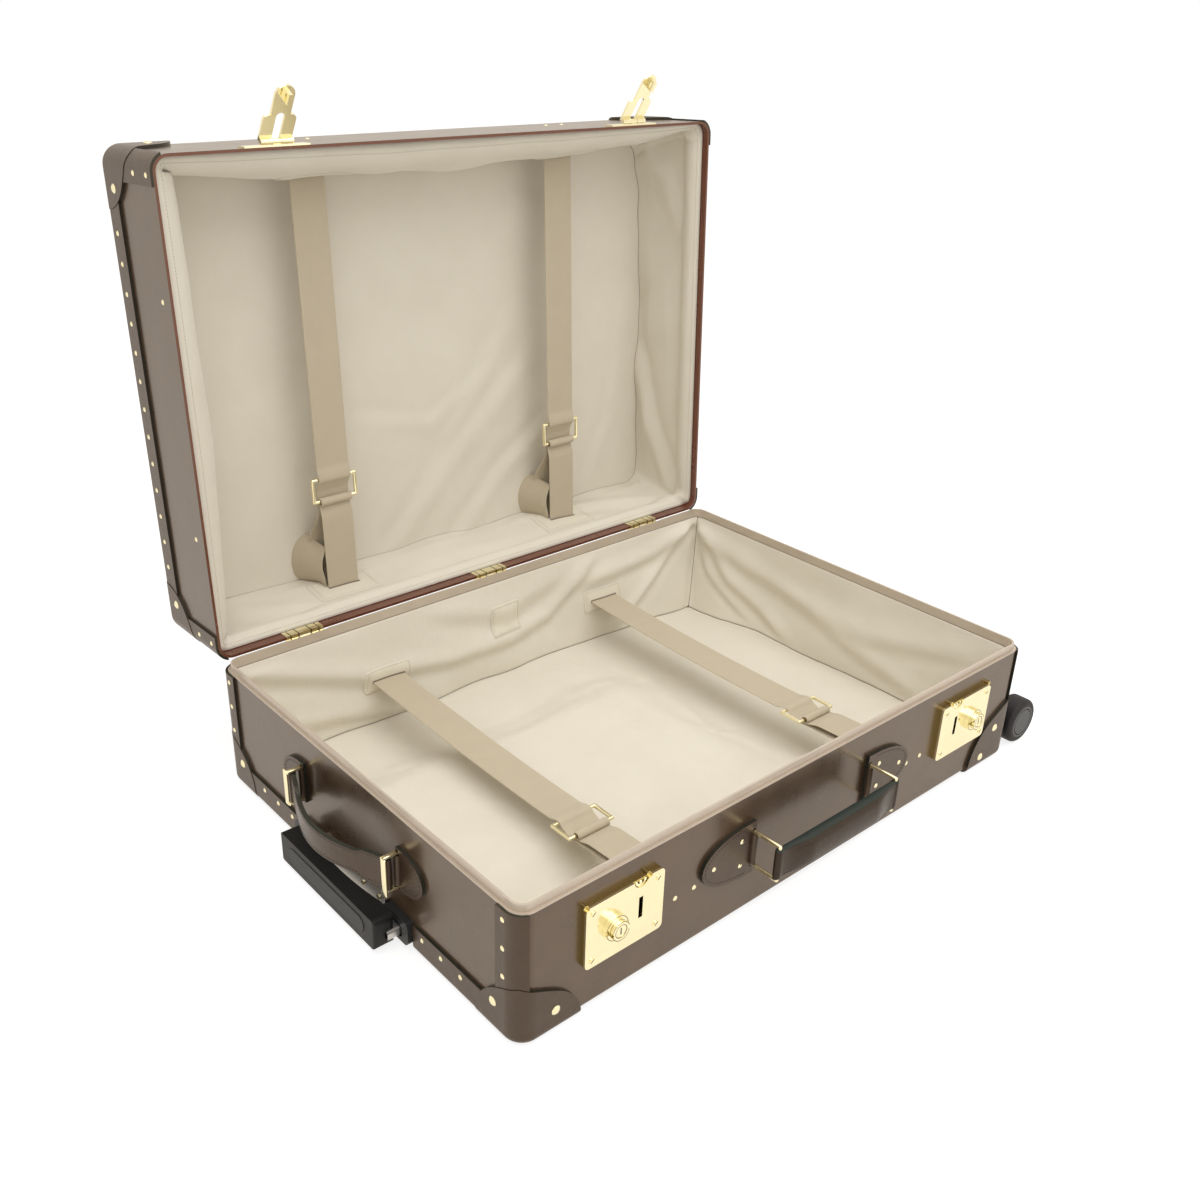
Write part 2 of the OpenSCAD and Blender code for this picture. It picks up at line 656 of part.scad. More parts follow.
function bow_x(y) = -side_bow * pow(cos(90 * y / side_ring_y), 1.2);
function lobe_h(y) = let (h = ring_h - 2 * ring_wire_r - 1)
    h - 7 * smooth((side_ring_y - 22 - abs(y)) / 8);

module side_handle_strap() color([0.43, 0.40, 0.35]) {
    h = ring_h - 2 * ring_wire_r - 1;
    n = 28;
    ys = [for (i = [0:n]) -side_ring_y + i * 2 * side_ring_y / n];
    translate([side_end_x, 0, side_z]) difference() {
        union() {
            intersection() {
                translate([0, 0, -h / 2]) linear_extrude(h) polygon(concat(
                    [for (y = ys) [bow_x(y) - side_strap_t / 2, y]],
                    [for (i = [n:-1:0]) [bow_x(ys[i]) + side_strap_t / 2, ys[i]]]));
                rotate([90, 0, 90]) linear_extrude(4 * side_bow, center = true) polygon(concat(
                    [for (y = ys) [y, lobe_h(y) / 2]], [for (i = [n:-1:0]) [ys[i], -lobe_h(ys[i]) / 2]]));
            }
            for (s = [-1, 1]) translate([0, s * side_ring_y, 0])
                cylinder(h = h, r = ring_wire_r + 1.8, center = true);
        }
        for (s = [-1, 1]) translate([0, s * side_ring_y, 0])
            cylinder(h = h + 2, r = ring_wire_r + fit, center = true);
    }
}

// Trolley

module tube(w, h, wall, x0, x1) for (s = [-1, 1]) translate([(x0 + x1) / 2, s * tube_y, tube_z])
    along_x(x1 - x0) difference() {
        rounded_rect(h, w, 4 - (tube_w - w) / 4);
        rounded_rect(h - 2 * wall, w - 2 * wall, 4 - (tube_w - w) / 4 - wall / 2);
    }

module trolley_outer_tubes() color([0.75, 0.73, 0.70])
    tube(tube_w, tube_h, tube_wall, -half_l, tube_l - half_l);
module trolley_middle_tubes() color([0.80, 0.77, 0.72])
    tube(mid_w, mid_h, tube_wall, -half_l - 2, tube_l - half_l - 6);
module trolley_inner_tubes() color([0.84, 0.80, 0.72])
    tube(inner_w, inner_h, tube_wall, grip_x + 10.5, tube_l - half_l - 12);

module trolley_foot_bracket() color([0.55, 0.55, 0.56]) {
    floor_z = leather_t + board_t;
    x = tube_l - half_l - 24;
    difference() {
        union() {
            for (s = [-1, 1]) translate([x, s * tube_y - 13, floor_z])
                cube([22, 26, tube_z + 2 - floor_z]);
            translate([x, -tube_y, floor_z]) cube([22, 2 * tube_y, 2]);
        }
        for (s = [-1, 1]) translate([x, s * tube_y, tube_z]) along_x(60) rounded_rect(tube_h, tube_w, 4);
    }
}

module trolley_bezels() color([0.10, 0.10, 0.11]) for (s = [-1, 1])
    translate([-half_l, s * tube_y, tube_z + 1.5]) difference() {
        facing_left(7) rounded_rect(bezel_w, bezel_h, 6);
        translate([0, 0, -1.5]) along_x(30) rounded_rect(mid_h + 0.6, mid_w + 0.6, 4);
    }

module trolley_end_plate() color([0.58, 0.57, 0.55])
    translate([-half_l, 0, tube_z + 3]) facing_left(4)
        rounded_rect(2 * (tube_y - bezel_w / 2 - 0.3), 28, 7);

scoop_depth = 5;
scoop_r = (60 * 60 + scoop_depth * scoop_depth) / (2 * scoop_depth);
button_guide_l = 6;

module button_guide(grow) rounded_rect(button_l - 8 + 2 * grow, button_h - 6 + 2 * grow, 4);

module grip_bar() translate([grip_x, 0, tube_z + 3]) difference() {
    intersection() {
        translate([grip_t, 0, 0]) facing_left(grip_t) rounded_rect(grip_l, grip_h, 6);
        translate([grip_t / 2, 0, 0]) linear_extrude(grip_h, center = true) rounded_rect(grip_t, grip_l, 4);
    }
    // Finger scoop in the back
    translate([grip_t - scoop_depth + scoop_r, 0, 0]) cylinder(h = grip_h + 2, r = scoop_r, center = true,
        $fn = 500);
    translate([4, 0, 0]) facing_left(8) rounded_rect(button_l + 0.6, button_h + 0.6, button_h / 2);
    translate([4 + button_guide_l, 0, 0]) facing_left(button_guide_l + 1) button_guide(fit);
}

module trolley_grip() color([0.08, 0.08, 0.09]) difference() {
    grip_bar();
    for (s = [-1, 1]) translate([grip_x + grip_t, s * tube_y, tube_z]) along_x(18)
        rounded_rect(inner_h + 2 * fit, inner_w + 2 * fit, 4 - (tube_w - inner_w) / 4);
}

module trolley_release_bar() color([0.30, 0.30, 0.31]) translate([grip_x + 1, 0, tube_z + 3]) {
    facing_left(1.6) rounded_rect(button_l, button_h, button_h / 2 - 0.3);
    translate([button_guide_l, 0, 0]) facing_left(button_guide_l) button_guide(0);
}

// Wheels, drawn for the front one

module wheel_bracket() {
    arm_t = 11;
    arm_y = wheel_y - wheel_w / 2 - 0.8;
    back_x = half_l + leather_t;
    difference() {
        union() {
            translate([back_x, -arm_y - 0.5, 8]) cube([3, 32, 46]);
            translate([0, -arm_y, 0]) mirror([0, 1, 0]) facing_front(arm_t) {
                polygon([[back_x, 10], [back_x, 52], [wheel_x, wheel_z + 11], [wheel_x, wheel_z - 11]]);
                translate([wheel_x, wheel_z]) circle(11);
            }
        }
        translate([wheel_x, -arm_y + arm_t + 1, wheel_z]) facing_front(arm_t + 2) circle(axle_r);
    }
}

module wheel_axle() translate([wheel_x, -wheel_y + wheel_w / 2 + 11.8, wheel_z])
    facing_front(wheel_w + 11.8 - 3) circle(axle_r);

module wheel_hub() translate([wheel_x, -wheel_y + wheel_w / 2, wheel_z]) difference() {
    facing_front(wheel_w) circle(wheel_r - tyre_t);
    translate([0, 1, 0]) facing_front(wheel_w - 1.5) circle(axle_r + fit);
    translate([0, 3 - wheel_w, 0]) facing_front(4) difference() {
        circle(wheel_r - tyre_t - 2.5);
        circle(wheel_r - tyre_t - 3.5);
    }
}

module wheel_tyre() translate([wheel_x, -wheel_y, wheel_z]) rotate([90, 0, 0]) rotate_extrude()
    translate([wheel_r - tyre_t, 0]) intersection() {
        translate([0, -wheel_w / 2]) square([tyre_t, wheel_w]);
        union() {
            translate([0, 5 - wheel_w / 2]) square([tyre_t, wheel_w - 10]);
            translate([0, -wheel_w / 2]) square([tyre_t - 5, wheel_w]);
            for (s = [-1, 1]) translate([tyre_t - 5, s * (wheel_w / 2 - 5)]) circle(5);
        }
    }

// Hinges

// Height of the stop lugs above the seam
lug_top = hinge_out - (hinge_out + 5) * tan(open_tilt) - 0.25;

module hinge_places() for (x = [-hinge_x, 0, hinge_x]) translate([x, 0, 0]) children();

module knuckle(x, l, bore) translate([x, hinge_y, seam_z]) along_x(l) difference() {
    circle(knuckle_r);
    circle(bore);
}

module hinge_base_leaves() color([0.80, 0.66, 0.34]) hinge_places() {
    knuckle(0, knuckle_l - 0.2, hinge_pin_r);
    difference() {
        union() {
            translate([0.1 - knuckle_l / 2, half_w, seam_z - 6])
                cube([knuckle_l - 0.2, hinge_out, 6 - flange_t + 0.1]);
            translate([-1.5 * knuckle_l, half_w, seam_z - 28]) cube([3 * knuckle_l, 1.2, 28 - knuckle_r - 0.4]);
            // Stop lugs that the open lid's back wall rests on
            for (s = [-1, 1]) translate([s * knuckle_l - 5, half_w, seam_z - knuckle_r - 3.4]) {
                cube([10, hinge_out + 8.5, 3]);
                translate([0, hinge_out + 4, 0]) cube([10, 4.5, lug_top + knuckle_r + 3.4]);
            }
        }
        translate([0, hinge_y, seam_z]) along_x(2 * knuckle_l) circle(hinge_pin_r);
    }
}

module hinge_pins() color([0.75, 0.62, 0.32]) hinge_places()
    translate([0, hinge_y, seam_z]) along_x(3 * knuckle_l) circle(hinge_pin_r);

module hinge_lid_leaves() color([0.85, 0.70, 0.35]) opened() hinge_places() difference() {
    union() {
        for (s = [-1, 1]) {
            knuckle(s * knuckle_l, knuckle_l, hinge_pin_r + fit);
            translate([s * knuckle_l - knuckle_l / 2, half_w, rim_z])
                cube([knuckle_l, hinge_out, leaf_t]);
        }
        translate([-1.5 * knuckle_l, half_w - board_t - 0.8, rim_z]) cube([3 * knuckle_l, board_t + 0.8, leaf_t]);
        translate([-1.5 * knuckle_l, half_w - board_t - 0.8, rim_z]) cube([3 * knuckle_l, 0.8, lid_bare_h - 1]);
    }
    translate([0, hinge_y, seam_z]) along_x(3 * knuckle_l) circle(hinge_pin_r + fit);
}

// Lid half

module lid_shell() color([0.45, 0.40, 0.36]) difference() {
    lid_half() case_box(0, lid_shell_h);
    lid_half() translate([0, 0, board_t]) case_box(board_t, lid_h);
    opened() hinge_places() translate([0, half_w, rim_z]) cube([3 * knuckle_l + 0.4, 3 * board_t,
        2 * leaf_t + 0.1], center = true);
}

module lid_lining() color([0.85, 0.80, 0.70]) lid_half() {
    h = lid_shell_h - lid_bare_h - board_t - 0.3;
    in0 = board_t + 0.1;
    in1 = in0 + lining_t;
    difference() {
        translate([0, 0, board_t + 0.3]) soft_box(case_l - 2 * in0, case_w - 2 * in0, h, corner_r - in0, lining_r);
        difference() {
            translate([0, 0, board_t + 0.3 + lining_t]) soft_box(case_l - 2 * in1, case_w - 2 * in1, h,
                corner_r - in1, lining_r - lining_t);
            // Cloth of the uppermost wall hangs down in a soft roll
            translate([0, in1 - half_w - 9, h * 0.42]) along_x(case_l - 80) circle(19);
        }
    }
}

module lid_corner_caps() color([0.44, 0.40, 0.36]) lid_half()
    four_corners() corner_cap(cap_side_l, cap_end_l, cap_lobe_h, cap_top_h);

module lid_edge_strips() color([0.48, 0.43, 0.40]) lid_half() left_and_right() difference() {
    edge_strip();
    front_and_rear() plain_cap_zone(leather_gap);
}

module lid_corner_strips() color([0.50, 0.46, 0.42]) lid_half()
    four_corners() corner_strip(lid_shell_h) plain_cap_zone(leather_gap);

module lid_rivets() color([0.85, 0.70, 0.35]) lid_half() {
    left_and_right() {
        for (y = edge_rivet_ys(0)) rivet_left(y, edge_rivet_h - 5, rivet_r, strip_t);
        front_and_rear() for (i = [0, 1]) rivet_left(17 - half_w, corner_rivet_hs(lid_shell_h)[i], rivet_r, strip_t);
        for (y = [-111, 111]) rivet_left(y, lid_shell_h - 17, rivet_r, 0);
        for (x = [146, 168]) rivet_front(x, lid_shell_h - 70, rivet_r, 0);
    }
}

module lid_cap_rivets() color([0.85, 0.70, 0.35]) lid_half() four_corners() {
    rivet_left(33 - half_w, 21, cap_rivet_r, leather_t);
    rivet_front(34 - half_l, 20, cap_rivet_r, leather_t);
}

module lid_patches() color([0.74, 0.70, 0.60]) opened() for (s = [-1, 1])
    translate([s * strap_x, lining_in - board_t - 0.1, rim_z + lid_strap_h]) patch(58, 28, strap_w + 2);

function lid_run() = half_w - board_t - 0.1 - lining_t - 0.3;
function lid_top_y() = -lid_run() + 10.5;

module lid_straps() color([0.74, 0.70, 0.60]) opened() for (s = [-1, 1])
    translate([s * strap_x, 0, rim_z + lid_strap_h])
        band([for (y = strap_ys(lid_top_y(), lid_buckle_y, 205))
            [y, -through_buckle(y - lid_buckle_y)]], strap_w, strap_t);

module lid_buckle_straps() color([0.74, 0.70, 0.60]) opened() for (s = [-1, 1])
    translate([s * strap_x, 0, rim_z + lid_strap_h])
        band([for (y = short_strap_ys(lid_buckle_y, lid_run() - 1))
            [y, -through_buckle(y - lid_buckle_y) - strap_layer]], strap_w - 1, strap_t);

module lid_buckles() color([0.85, 0.70, 0.35]) opened() for (s = [-1, 1])
    translate([s * strap_x, lid_buckle_y, rim_z + lid_strap_h]) buckle();

// Hasps, drawn closed for the left one

module hasp_knuckle(x0, x1, r, bore) translate([(x0 + x1) / 2, 0, 0]) along_x(x1 - x0) difference() {
    circle(r);
    circle(bore);
}

module at_left_hasp() opened() translate([-hasp_x, hasp_y, hasp_z]) children();

module hasp_seats() color([0.88, 0.76, 0.42]) left_and_right() at_left_hasp() {
    hasp_knuckle(-4, 4, 2.4, 1.2);
    difference() {
        union() {
            translate([-hasp_w, hasp_out - 1.5, 0.6 - hasp_up]) cube([2 * hasp_w, 1.5, 12.4]);
            translate([-4, 0, -1.2]) cube([8, hasp_out, 3]);
        }
        along_x(20) circle(1.2);
    }
}

module hasp_pins() color([0.75, 0.62, 0.32]) left_and_right() at_left_hasp() along_x(hasp_w) circle(1.2);

module hasp() at_left_hasp() rotate([-hasp_rest, 0, 0]) {
    leg_w = hasp_w / 2 - 4.2;
    for (s = [-1, 1]) translate([s * (4.2 + leg_w / 2), 0, 0]) {
        hasp_knuckle(-leg_w / 2, leg_w / 2, 2.6, 1.2 + fit);
        difference() {
            translate([-leg_w / 2, -hasp_offset - hasp_t, -2.6]) cube([leg_w, hasp_offset + hasp_t, 3.4]);
            along_x(20) circle(1.2 + fit);
        }
    }
    // Plate with two legs, an arch between them and a round tip
    translate([0, -hasp_offset, 0]) facing_front(hasp_t) difference() {
        union() {
            translate([-hasp_w / 2, -20]) square([hasp_w, 20.8]);
            translate([5 - hasp_w / 2, -25]) square([hasp_w - 10, 6]);
            for (s = [-1, 1]) translate([s * (hasp_w / 2 - 5), -20]) circle(5);
            translate([-9.5, 9.5 - hasp_l]) square([19, hasp_l - 20]);
            translate([0, 9.5 - hasp_l]) circle(9.5);
        }
        translate([-4.2, -22.8]) square([8.4, 40]);
        translate([0, -22.8]) circle(4.2);
    }
    // Staple with the window that the knob's cam enters
    translate([0, -hasp_offset, -staple_top - staple_l]) difference() {
        translate([-1.7, 0, 0]) cube([3.4, staple_reach, staple_l]);
        translate([-2, lock_plate_t + 0.6, 2.2]) cube([4, cam_t + 0.7, 6.8]);
    }
}

placed() base_shell();
placed() rim_lip();
placed() base_lining();
placed() base_corner_caps();
placed() base_edge_strips();
placed() base_corner_strips();
placed() base_rivets();
placed() base_cap_rivets();
placed() base_patches();
placed() base_straps();
placed() base_buckle_straps();
placed() base_buckles();
placed() lock_cases();
placed() lock_plates();
placed() screws();
placed() handle_chapes();
placed() side_chapes();
placed() trolley_outer_tubes();
placed() trolley_foot_bracket();
placed() trolley_bezels();
placed() trolley_end_plate();
placed() color([0.08, 0.08, 0.09])  // wheel_brackets
    front_and_rear() wheel_bracket();
placed() color([0.60, 0.60, 0.62])  // wheel_axles
    front_and_rear() wheel_axle();
placed() hinge_base_leaves();
placed() hinge_pins();
placed() lid_shell();
placed() lid_lining();
placed() lid_corner_caps();
placed() lid_edge_strips();
placed() lid_corner_strips();
placed() lid_rivets();
placed() lid_cap_rivets();
placed() lid_patches();
placed() lid_straps();
placed() lid_buckle_straps();
placed() lid_buckles();
placed() hinge_lid_leaves();
placed() hasp_seats();
placed() hasp_pins();
placed() color([0.93, 0.84, 0.55]) hasp();  // hasp_left
placed() color([0.93, 0.84, 0.55]) mirror([1, 0, 0]) hasp();  // hasp_right
placed() color([0.93, 0.84, 0.55]) lock_knob();  // lock_knob_left
placed() color([0.93, 0.84, 0.55])  // lock_knob_right
    mirror([1, 0, 0]) lock_knob();
placed() color([0.80, 0.68, 0.36]) key_cylinder();  // key_cylinder_left
placed() color([0.80, 0.68, 0.36])  // key_cylinder_right
    mirror([1, 0, 0]) key_cylinder();
placed() color([0.90, 0.78, 0.42])  // handle_ring_left
    mirror([1, 0, 0]) front_ring();
placed() color([0.90, 0.78, 0.42]) front_ring();  // handle_ring_right
placed() handle_grip();
placed() color([0.90, 0.78, 0.42])  // side_ring_front
    mirror([0, 1, 0]) side_ring();
placed() color([0.90, 0.78, 0.42]) side_ring();  // side_ring_rear
placed() side_handle_strap();
placed() trolley_middle_tubes();
placed() trolley_inner_tubes();
placed() trolley_grip();
placed() trolley_release_bar();
placed() color([0.35, 0.35, 0.36]) wheel_hub();  // wheel_hub_front
placed() color([0.12, 0.12, 0.13]) wheel_tyre();  // wheel_tyre_front
placed() color([0.35, 0.35, 0.36])  // wheel_hub_rear
    mirror([0, 1, 0]) wheel_hub();
placed() color([0.12, 0.12, 0.13])  // wheel_tyre_rear
    mirror([0, 1, 0]) wheel_tyre();
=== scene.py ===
"""A fibre board trolley case, shown open: its looks, built round the CAD frame. Lengths in the sections are millimetres
in the case's own frame, with the base's middle at 0, 0 and the lid closed; placed() and opened() turn them into metres
where the piece stands."""

import math

import bpy
import numpy as np
from mathutils import Euler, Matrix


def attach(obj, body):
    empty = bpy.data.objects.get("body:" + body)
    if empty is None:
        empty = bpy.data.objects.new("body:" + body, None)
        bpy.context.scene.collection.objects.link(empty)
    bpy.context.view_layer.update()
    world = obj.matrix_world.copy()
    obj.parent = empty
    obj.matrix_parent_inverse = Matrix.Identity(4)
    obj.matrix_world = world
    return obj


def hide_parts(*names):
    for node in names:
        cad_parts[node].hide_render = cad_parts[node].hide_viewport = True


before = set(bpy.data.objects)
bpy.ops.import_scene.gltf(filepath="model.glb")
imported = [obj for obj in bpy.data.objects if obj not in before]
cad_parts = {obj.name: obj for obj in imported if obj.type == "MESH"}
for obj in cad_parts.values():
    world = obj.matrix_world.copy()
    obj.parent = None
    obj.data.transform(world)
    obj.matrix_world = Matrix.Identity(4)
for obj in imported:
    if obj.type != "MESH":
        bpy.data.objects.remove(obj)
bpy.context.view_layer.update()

# ---- Fibre board shells ----
# The base and the lid are deep trays of vulcanised fibre board, bent at the corners and painted brown outside. Inside
# and on its cut rim the board is dark red. The base is 124 mm deep and the lid 105 mm.

HALF_L, HALF_W, CORNER_R = 330.0, 234.0, 15.0
BASE_RIM_Z, HINGE_Y, LID_OPEN = 126.6, 237.5, math.radians(92.5)
LID_RED_Z = 219.0
CASE_MIDDLE = np.array([-9.4, -46.632, 0.0])
VARNISH = (1.0, 0.80, 0.64, 1)
BOARD_BROWN, BOARD_BROWN_WORN, BOARD_RED = (0.050, 0.028, 0.014), (0.066, 0.038, 0.020), (0.095, 0.019, 0.008)


def placed(points):
    """Points of the base, from millimetres about the case's middle to metres in the row frame."""
    return (np.asarray(points, float) + CASE_MIDDLE) / 1000


def opened(points):
    """Points of the closed lid, turned about the hinge's line by the angle at which the lid rests."""
    p = np.array(points, float)
    y, z = p[..., 1] - HINGE_Y, p[..., 2] - BASE_RIM_Z
    p[..., 1] = HINGE_Y + y * math.cos(LID_OPEN) + z * math.sin(LID_OPEN)
    p[..., 2] = BASE_RIM_Z - y * math.sin(LID_OPEN) + z * math.cos(LID_OPEN)
    return placed(p)


def node(material, kind, inputs=(), **settings):
    """A node of that kind in the material's tree. Each input is a value, or the socket of another node."""
    made = material.node_tree.nodes.new("ShaderNode" + kind)
    for name, value in settings.items():
        setattr(made, name, value)
    for name, value in dict(inputs).items():
        if isinstance(value, bpy.types.NodeSocket):
            material.node_tree.links.new(value, made.inputs[name])
        else:
            made.inputs[name].default_value = value
    return made


def finish_of(name, **plain):
    """A new material. Its shader's plain values are given by socket name, with _ for a space."""
    material = bpy.data.materials.new(name)
    material.use_nodes = True
    shader = material.node_tree.nodes["Principled BSDF"]
    for socket, value in plain.items():
        shader.inputs[socket.replace("_", " ")].default_value = value
    return material


def shade(material, socket, value):
    """Joins a socket of another node to the shader."""
    material.node_tree.links.new(value, material.node_tree.nodes["Principled BSDF"].inputs[socket])


def object_mm(material, on_lid=False):
    """The place on the case in millimetres, with the lid turned back as if it were closed where on_lid is true."""
    where = node(material, "TexCoord").outputs["Object"]
    mm = node(material, "Mapping", {"Vector": where, "Scale": (1000, 1000, 1000)}, vector_type="POINT")
    mm.inputs["Location"].default_value = -CASE_MIDDLE
    if not on_lid:
        return mm.outputs["Vector"]
    hinge = np.array([0, HINGE_Y, BASE_RIM_Z])
    c, s = math.cos(LID_OPEN), math.sin(LID_OPEN)
    turned = np.array([0, HINGE_Y * c - BASE_RIM_Z * s, HINGE_Y * s + BASE_RIM_Z * c])
    back = node(material, "Mapping", {"Vector": mm.outputs["Vector"], "Rotation": (LID_OPEN, 0, 0)})
    back.inputs["Location"].default_value = hinge - turned
    return back.outputs["Vector"]


def number(material, operation, *values, clamp=False):
    """One step of arithmetic on numbers or sockets."""
    return node(material, "Math", enumerate(values), operation=operation, use_clamp=clamp).outputs[0]


def step_up(material, value, start, end):
    """0 below start and 1 above end, with a smooth rise between them."""
    ends = {"Value": value, "From Min": start, "From Max": end}
    return node(material, "MapRange", ends, interpolation_type="SMOOTHSTEP").outputs["Result"]


def blend_of(material, share, first, second):
    """first where share is 0 and second where it is 1; both are colours or sockets."""
    mix = node(material, "Mix", {0: share}, data_type="RGBA")
    for socket, colour in ((mix.inputs[6], first), (mix.inputs[7], second)):
        if isinstance(colour, bpy.types.NodeSocket):
            material.node_tree.links.new(colour, socket)
        else:
            socket.default_value = (*colour, 1)
    return mix.outputs[2]


def mottle(material, where, per_mm, detail=3.0, roughness=0.55):
    """Cloudy noise from 0 to 1, with per_mm clouds to the millimetre."""
    inputs = {"Vector": where, "Scale": per_mm, "Detail": detail, "Roughness": roughness}
    return node(material, "TexNoise", inputs).outputs["Fac"]


def relief(material, *layers):
    """Bumps laid over each other. Each layer is a height from 0 to 1 and its depth in millimetres."""
    normal = None
    for height, depth in layers:
        bump = node(material, "Bump", {"Height": height, "Distance": depth / 1000, "Strength": 1.0})
        if normal is not None:
            material.node_tree.links.new(normal, bump.inputs["Normal"])
        normal = bump.outputs["Normal"]
    shade(material, "Normal", normal)


def toned(colour, share):
    """A colour made lighter or darker."""
    return tuple(share * c for c in colour)


def xyz(material, where):
    """The three numbers of a place or a direction."""
    return node(material, "SeparateXYZ", {0: where}).outputs


def vary_roughness(material, noise, least, most):
    """Lets the roughness follow a noise, from least to most."""
    shade(material, "Roughness", node(material, "MapRange", {0: noise, 3: least, 4: most}).outputs[0])


def depth_under_wall(material, where):
    """How far a point lies inside the outer face of the upright walls, from the distance to a rectangle with rounded
    corners: past the corner's middle the radius less the distance to it, and elsewhere the distance to the nearer
    wall."""
    flat = node(material, "VectorMath", {0: where, 1: (1, 1, 0)}, operation="MULTIPLY").outputs[0]
    size = node(material, "VectorMath", {0: flat}, operation="ABSOLUTE").outputs[0]
    corner = (HALF_L - CORNER_R, HALF_W - CORNER_R, 0)
    past = node(material, "VectorMath", {0: size, 1: corner}, operation="SUBTRACT").outputs[0]
    out = node(material, "VectorMath", {0: past, 1: (0, 0, 0)}, operation="MAXIMUM").outputs[0]
    far = node(material, "VectorMath", {0: out}, operation="LENGTH").outputs["Value"]
    parts = xyz(material, past)
    near = number(material, "MINIMUM", number(material, "MAXIMUM", parts[0], parts[1]), 0.0)
    return number(material, "SUBTRACT", CORNER_R, number(material, "ADD", far, near))


def fibre_board(name, on_lid):
    """Varnished brown board with a fine pebbled skin and slow changes of tone; the lid's inside and cut rim are dark
    red."""
    board = finish_of(
        name, Roughness=0.28, Specular_IOR_Level=1.0, Specular_Tint=VARNISH, Coat_Weight=0.2, Coat_Roughness=0.14
    )
    where = object_mm(board, on_lid)
    cloud = mottle(board, where, 0.035, 4.0)
    brown = blend_of(board, step_up(board, cloud, 0.35, 0.7), BOARD_BROWN, BOARD_BROWN_WORN)
    if on_lid:
        inside = step_up(board, depth_under_wall(board, where), 0.3, 0.45)
        low = step_up(board, xyz(board, where)[2], LID_RED_Z + 0.5, LID_RED_Z)
        red = blend_of(board, cloud, BOARD_RED, toned(BOARD_RED, 1.35))
        brown = blend_of(board, number(board, "MULTIPLY", inside, low), brown, red)
    shade(board, "Base Color", brown)
    vary_roughness(board, cloud, 0.22, 0.36)
    relief(board, (mottle(board, where, 0.022, 1.0), 0.5), (mottle(board, where, 0.22, 1.0), 0.012))
    return board


def skin(piece_name, material):
    """Gives a CAD node its material, joins its loose triangles, and rounds the shading of all but its sharp edges."""
    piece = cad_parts[piece_name]
    piece.data.materials.clear()
    piece.data.materials.append(material)
    merged = piece.modifiers.new("merged", "NODES")
    merged.node_group = soft_shading
    even = piece.modifiers.new("even", "WEIGHTED_NORMAL")
    even.keep_sharp = True
    return piece


def shading_tree():
    """Geometry nodes that merge a CAD node's loose triangles and shade it smooth where faces meet under 32 degrees."""
    tree = bpy.data.node_groups.new("soft_shading", "GeometryNodeTree")
    tree.interface.new_socket("Geometry", in_out="INPUT", socket_type="NodeSocketGeometry")
    tree.interface.new_socket("Geometry", in_out="OUTPUT", socket_type="NodeSocketGeometry")
    way_in, way_out = tree.nodes.new("NodeGroupInput"), tree.nodes.new("NodeGroupOutput")
    merge = tree.nodes.new("GeometryNodeMergeByDistance")
    merge.inputs["Distance"].default_value = 2e-6
    smooth, sharp = tree.nodes.new("GeometryNodeSetShadeSmooth"), tree.nodes.new("GeometryNodeSetShadeSmooth")
    smooth.domain, sharp.domain = "FACE", "EDGE"
    angle = tree.nodes.new("GeometryNodeInputMeshEdgeAngle")
    wide = tree.nodes.new("FunctionNodeCompare")
    wide.data_type, wide.operation = "FLOAT", "GREATER_THAN"
    wide.inputs[1].default_value = math.radians(32)
    sharp.inputs["Shade Smooth"].default_value = False
    join = tree.links.new
    join(way_in.outputs[0], merge.inputs["Geometry"])
    join(merge.outputs[0], smooth.inputs["Geometry"])
    join(smooth.outputs[0], sharp.inputs["Geometry"])
    join(angle.outputs["Unsigned Angle"], wide.inputs[0])
    join(wide.outputs[0], sharp.inputs["Selection"])
    join(sharp.outputs[0], way_out.inputs[0])
    return tree


soft_shading = shading_tree()
skin("base_shell", fibre_board("base_board", False))
skin("lid_shell", fibre_board("lid_board", True))

# ---- Leather corners, edge strips and corner strips ----
# Dark brown hide, moulded wet over the corners and laid round the edges, then riveted. Its cut edges are painted
# black-green.

HIDE, HIDE_DEEP, HIDE_EDGE = (0.052, 0.030, 0.017), (0.034, 0.020, 0.012), (0.008, 0.014, 0.011)
CAP_T, STRIP_T = 3.0, 2.5
BASE_BEND_Z, LID_BEND_Z = 9.0, 222.6


def paint_over(material, share, colour):
    """Lays a colour over what the material shows, where share is 1."""
    under = material.node_tree.nodes["Principled BSDF"].inputs["Base Color"].links[0].from_socket
    shade(material, "Base Color", blend_of(material, share, under, colour))


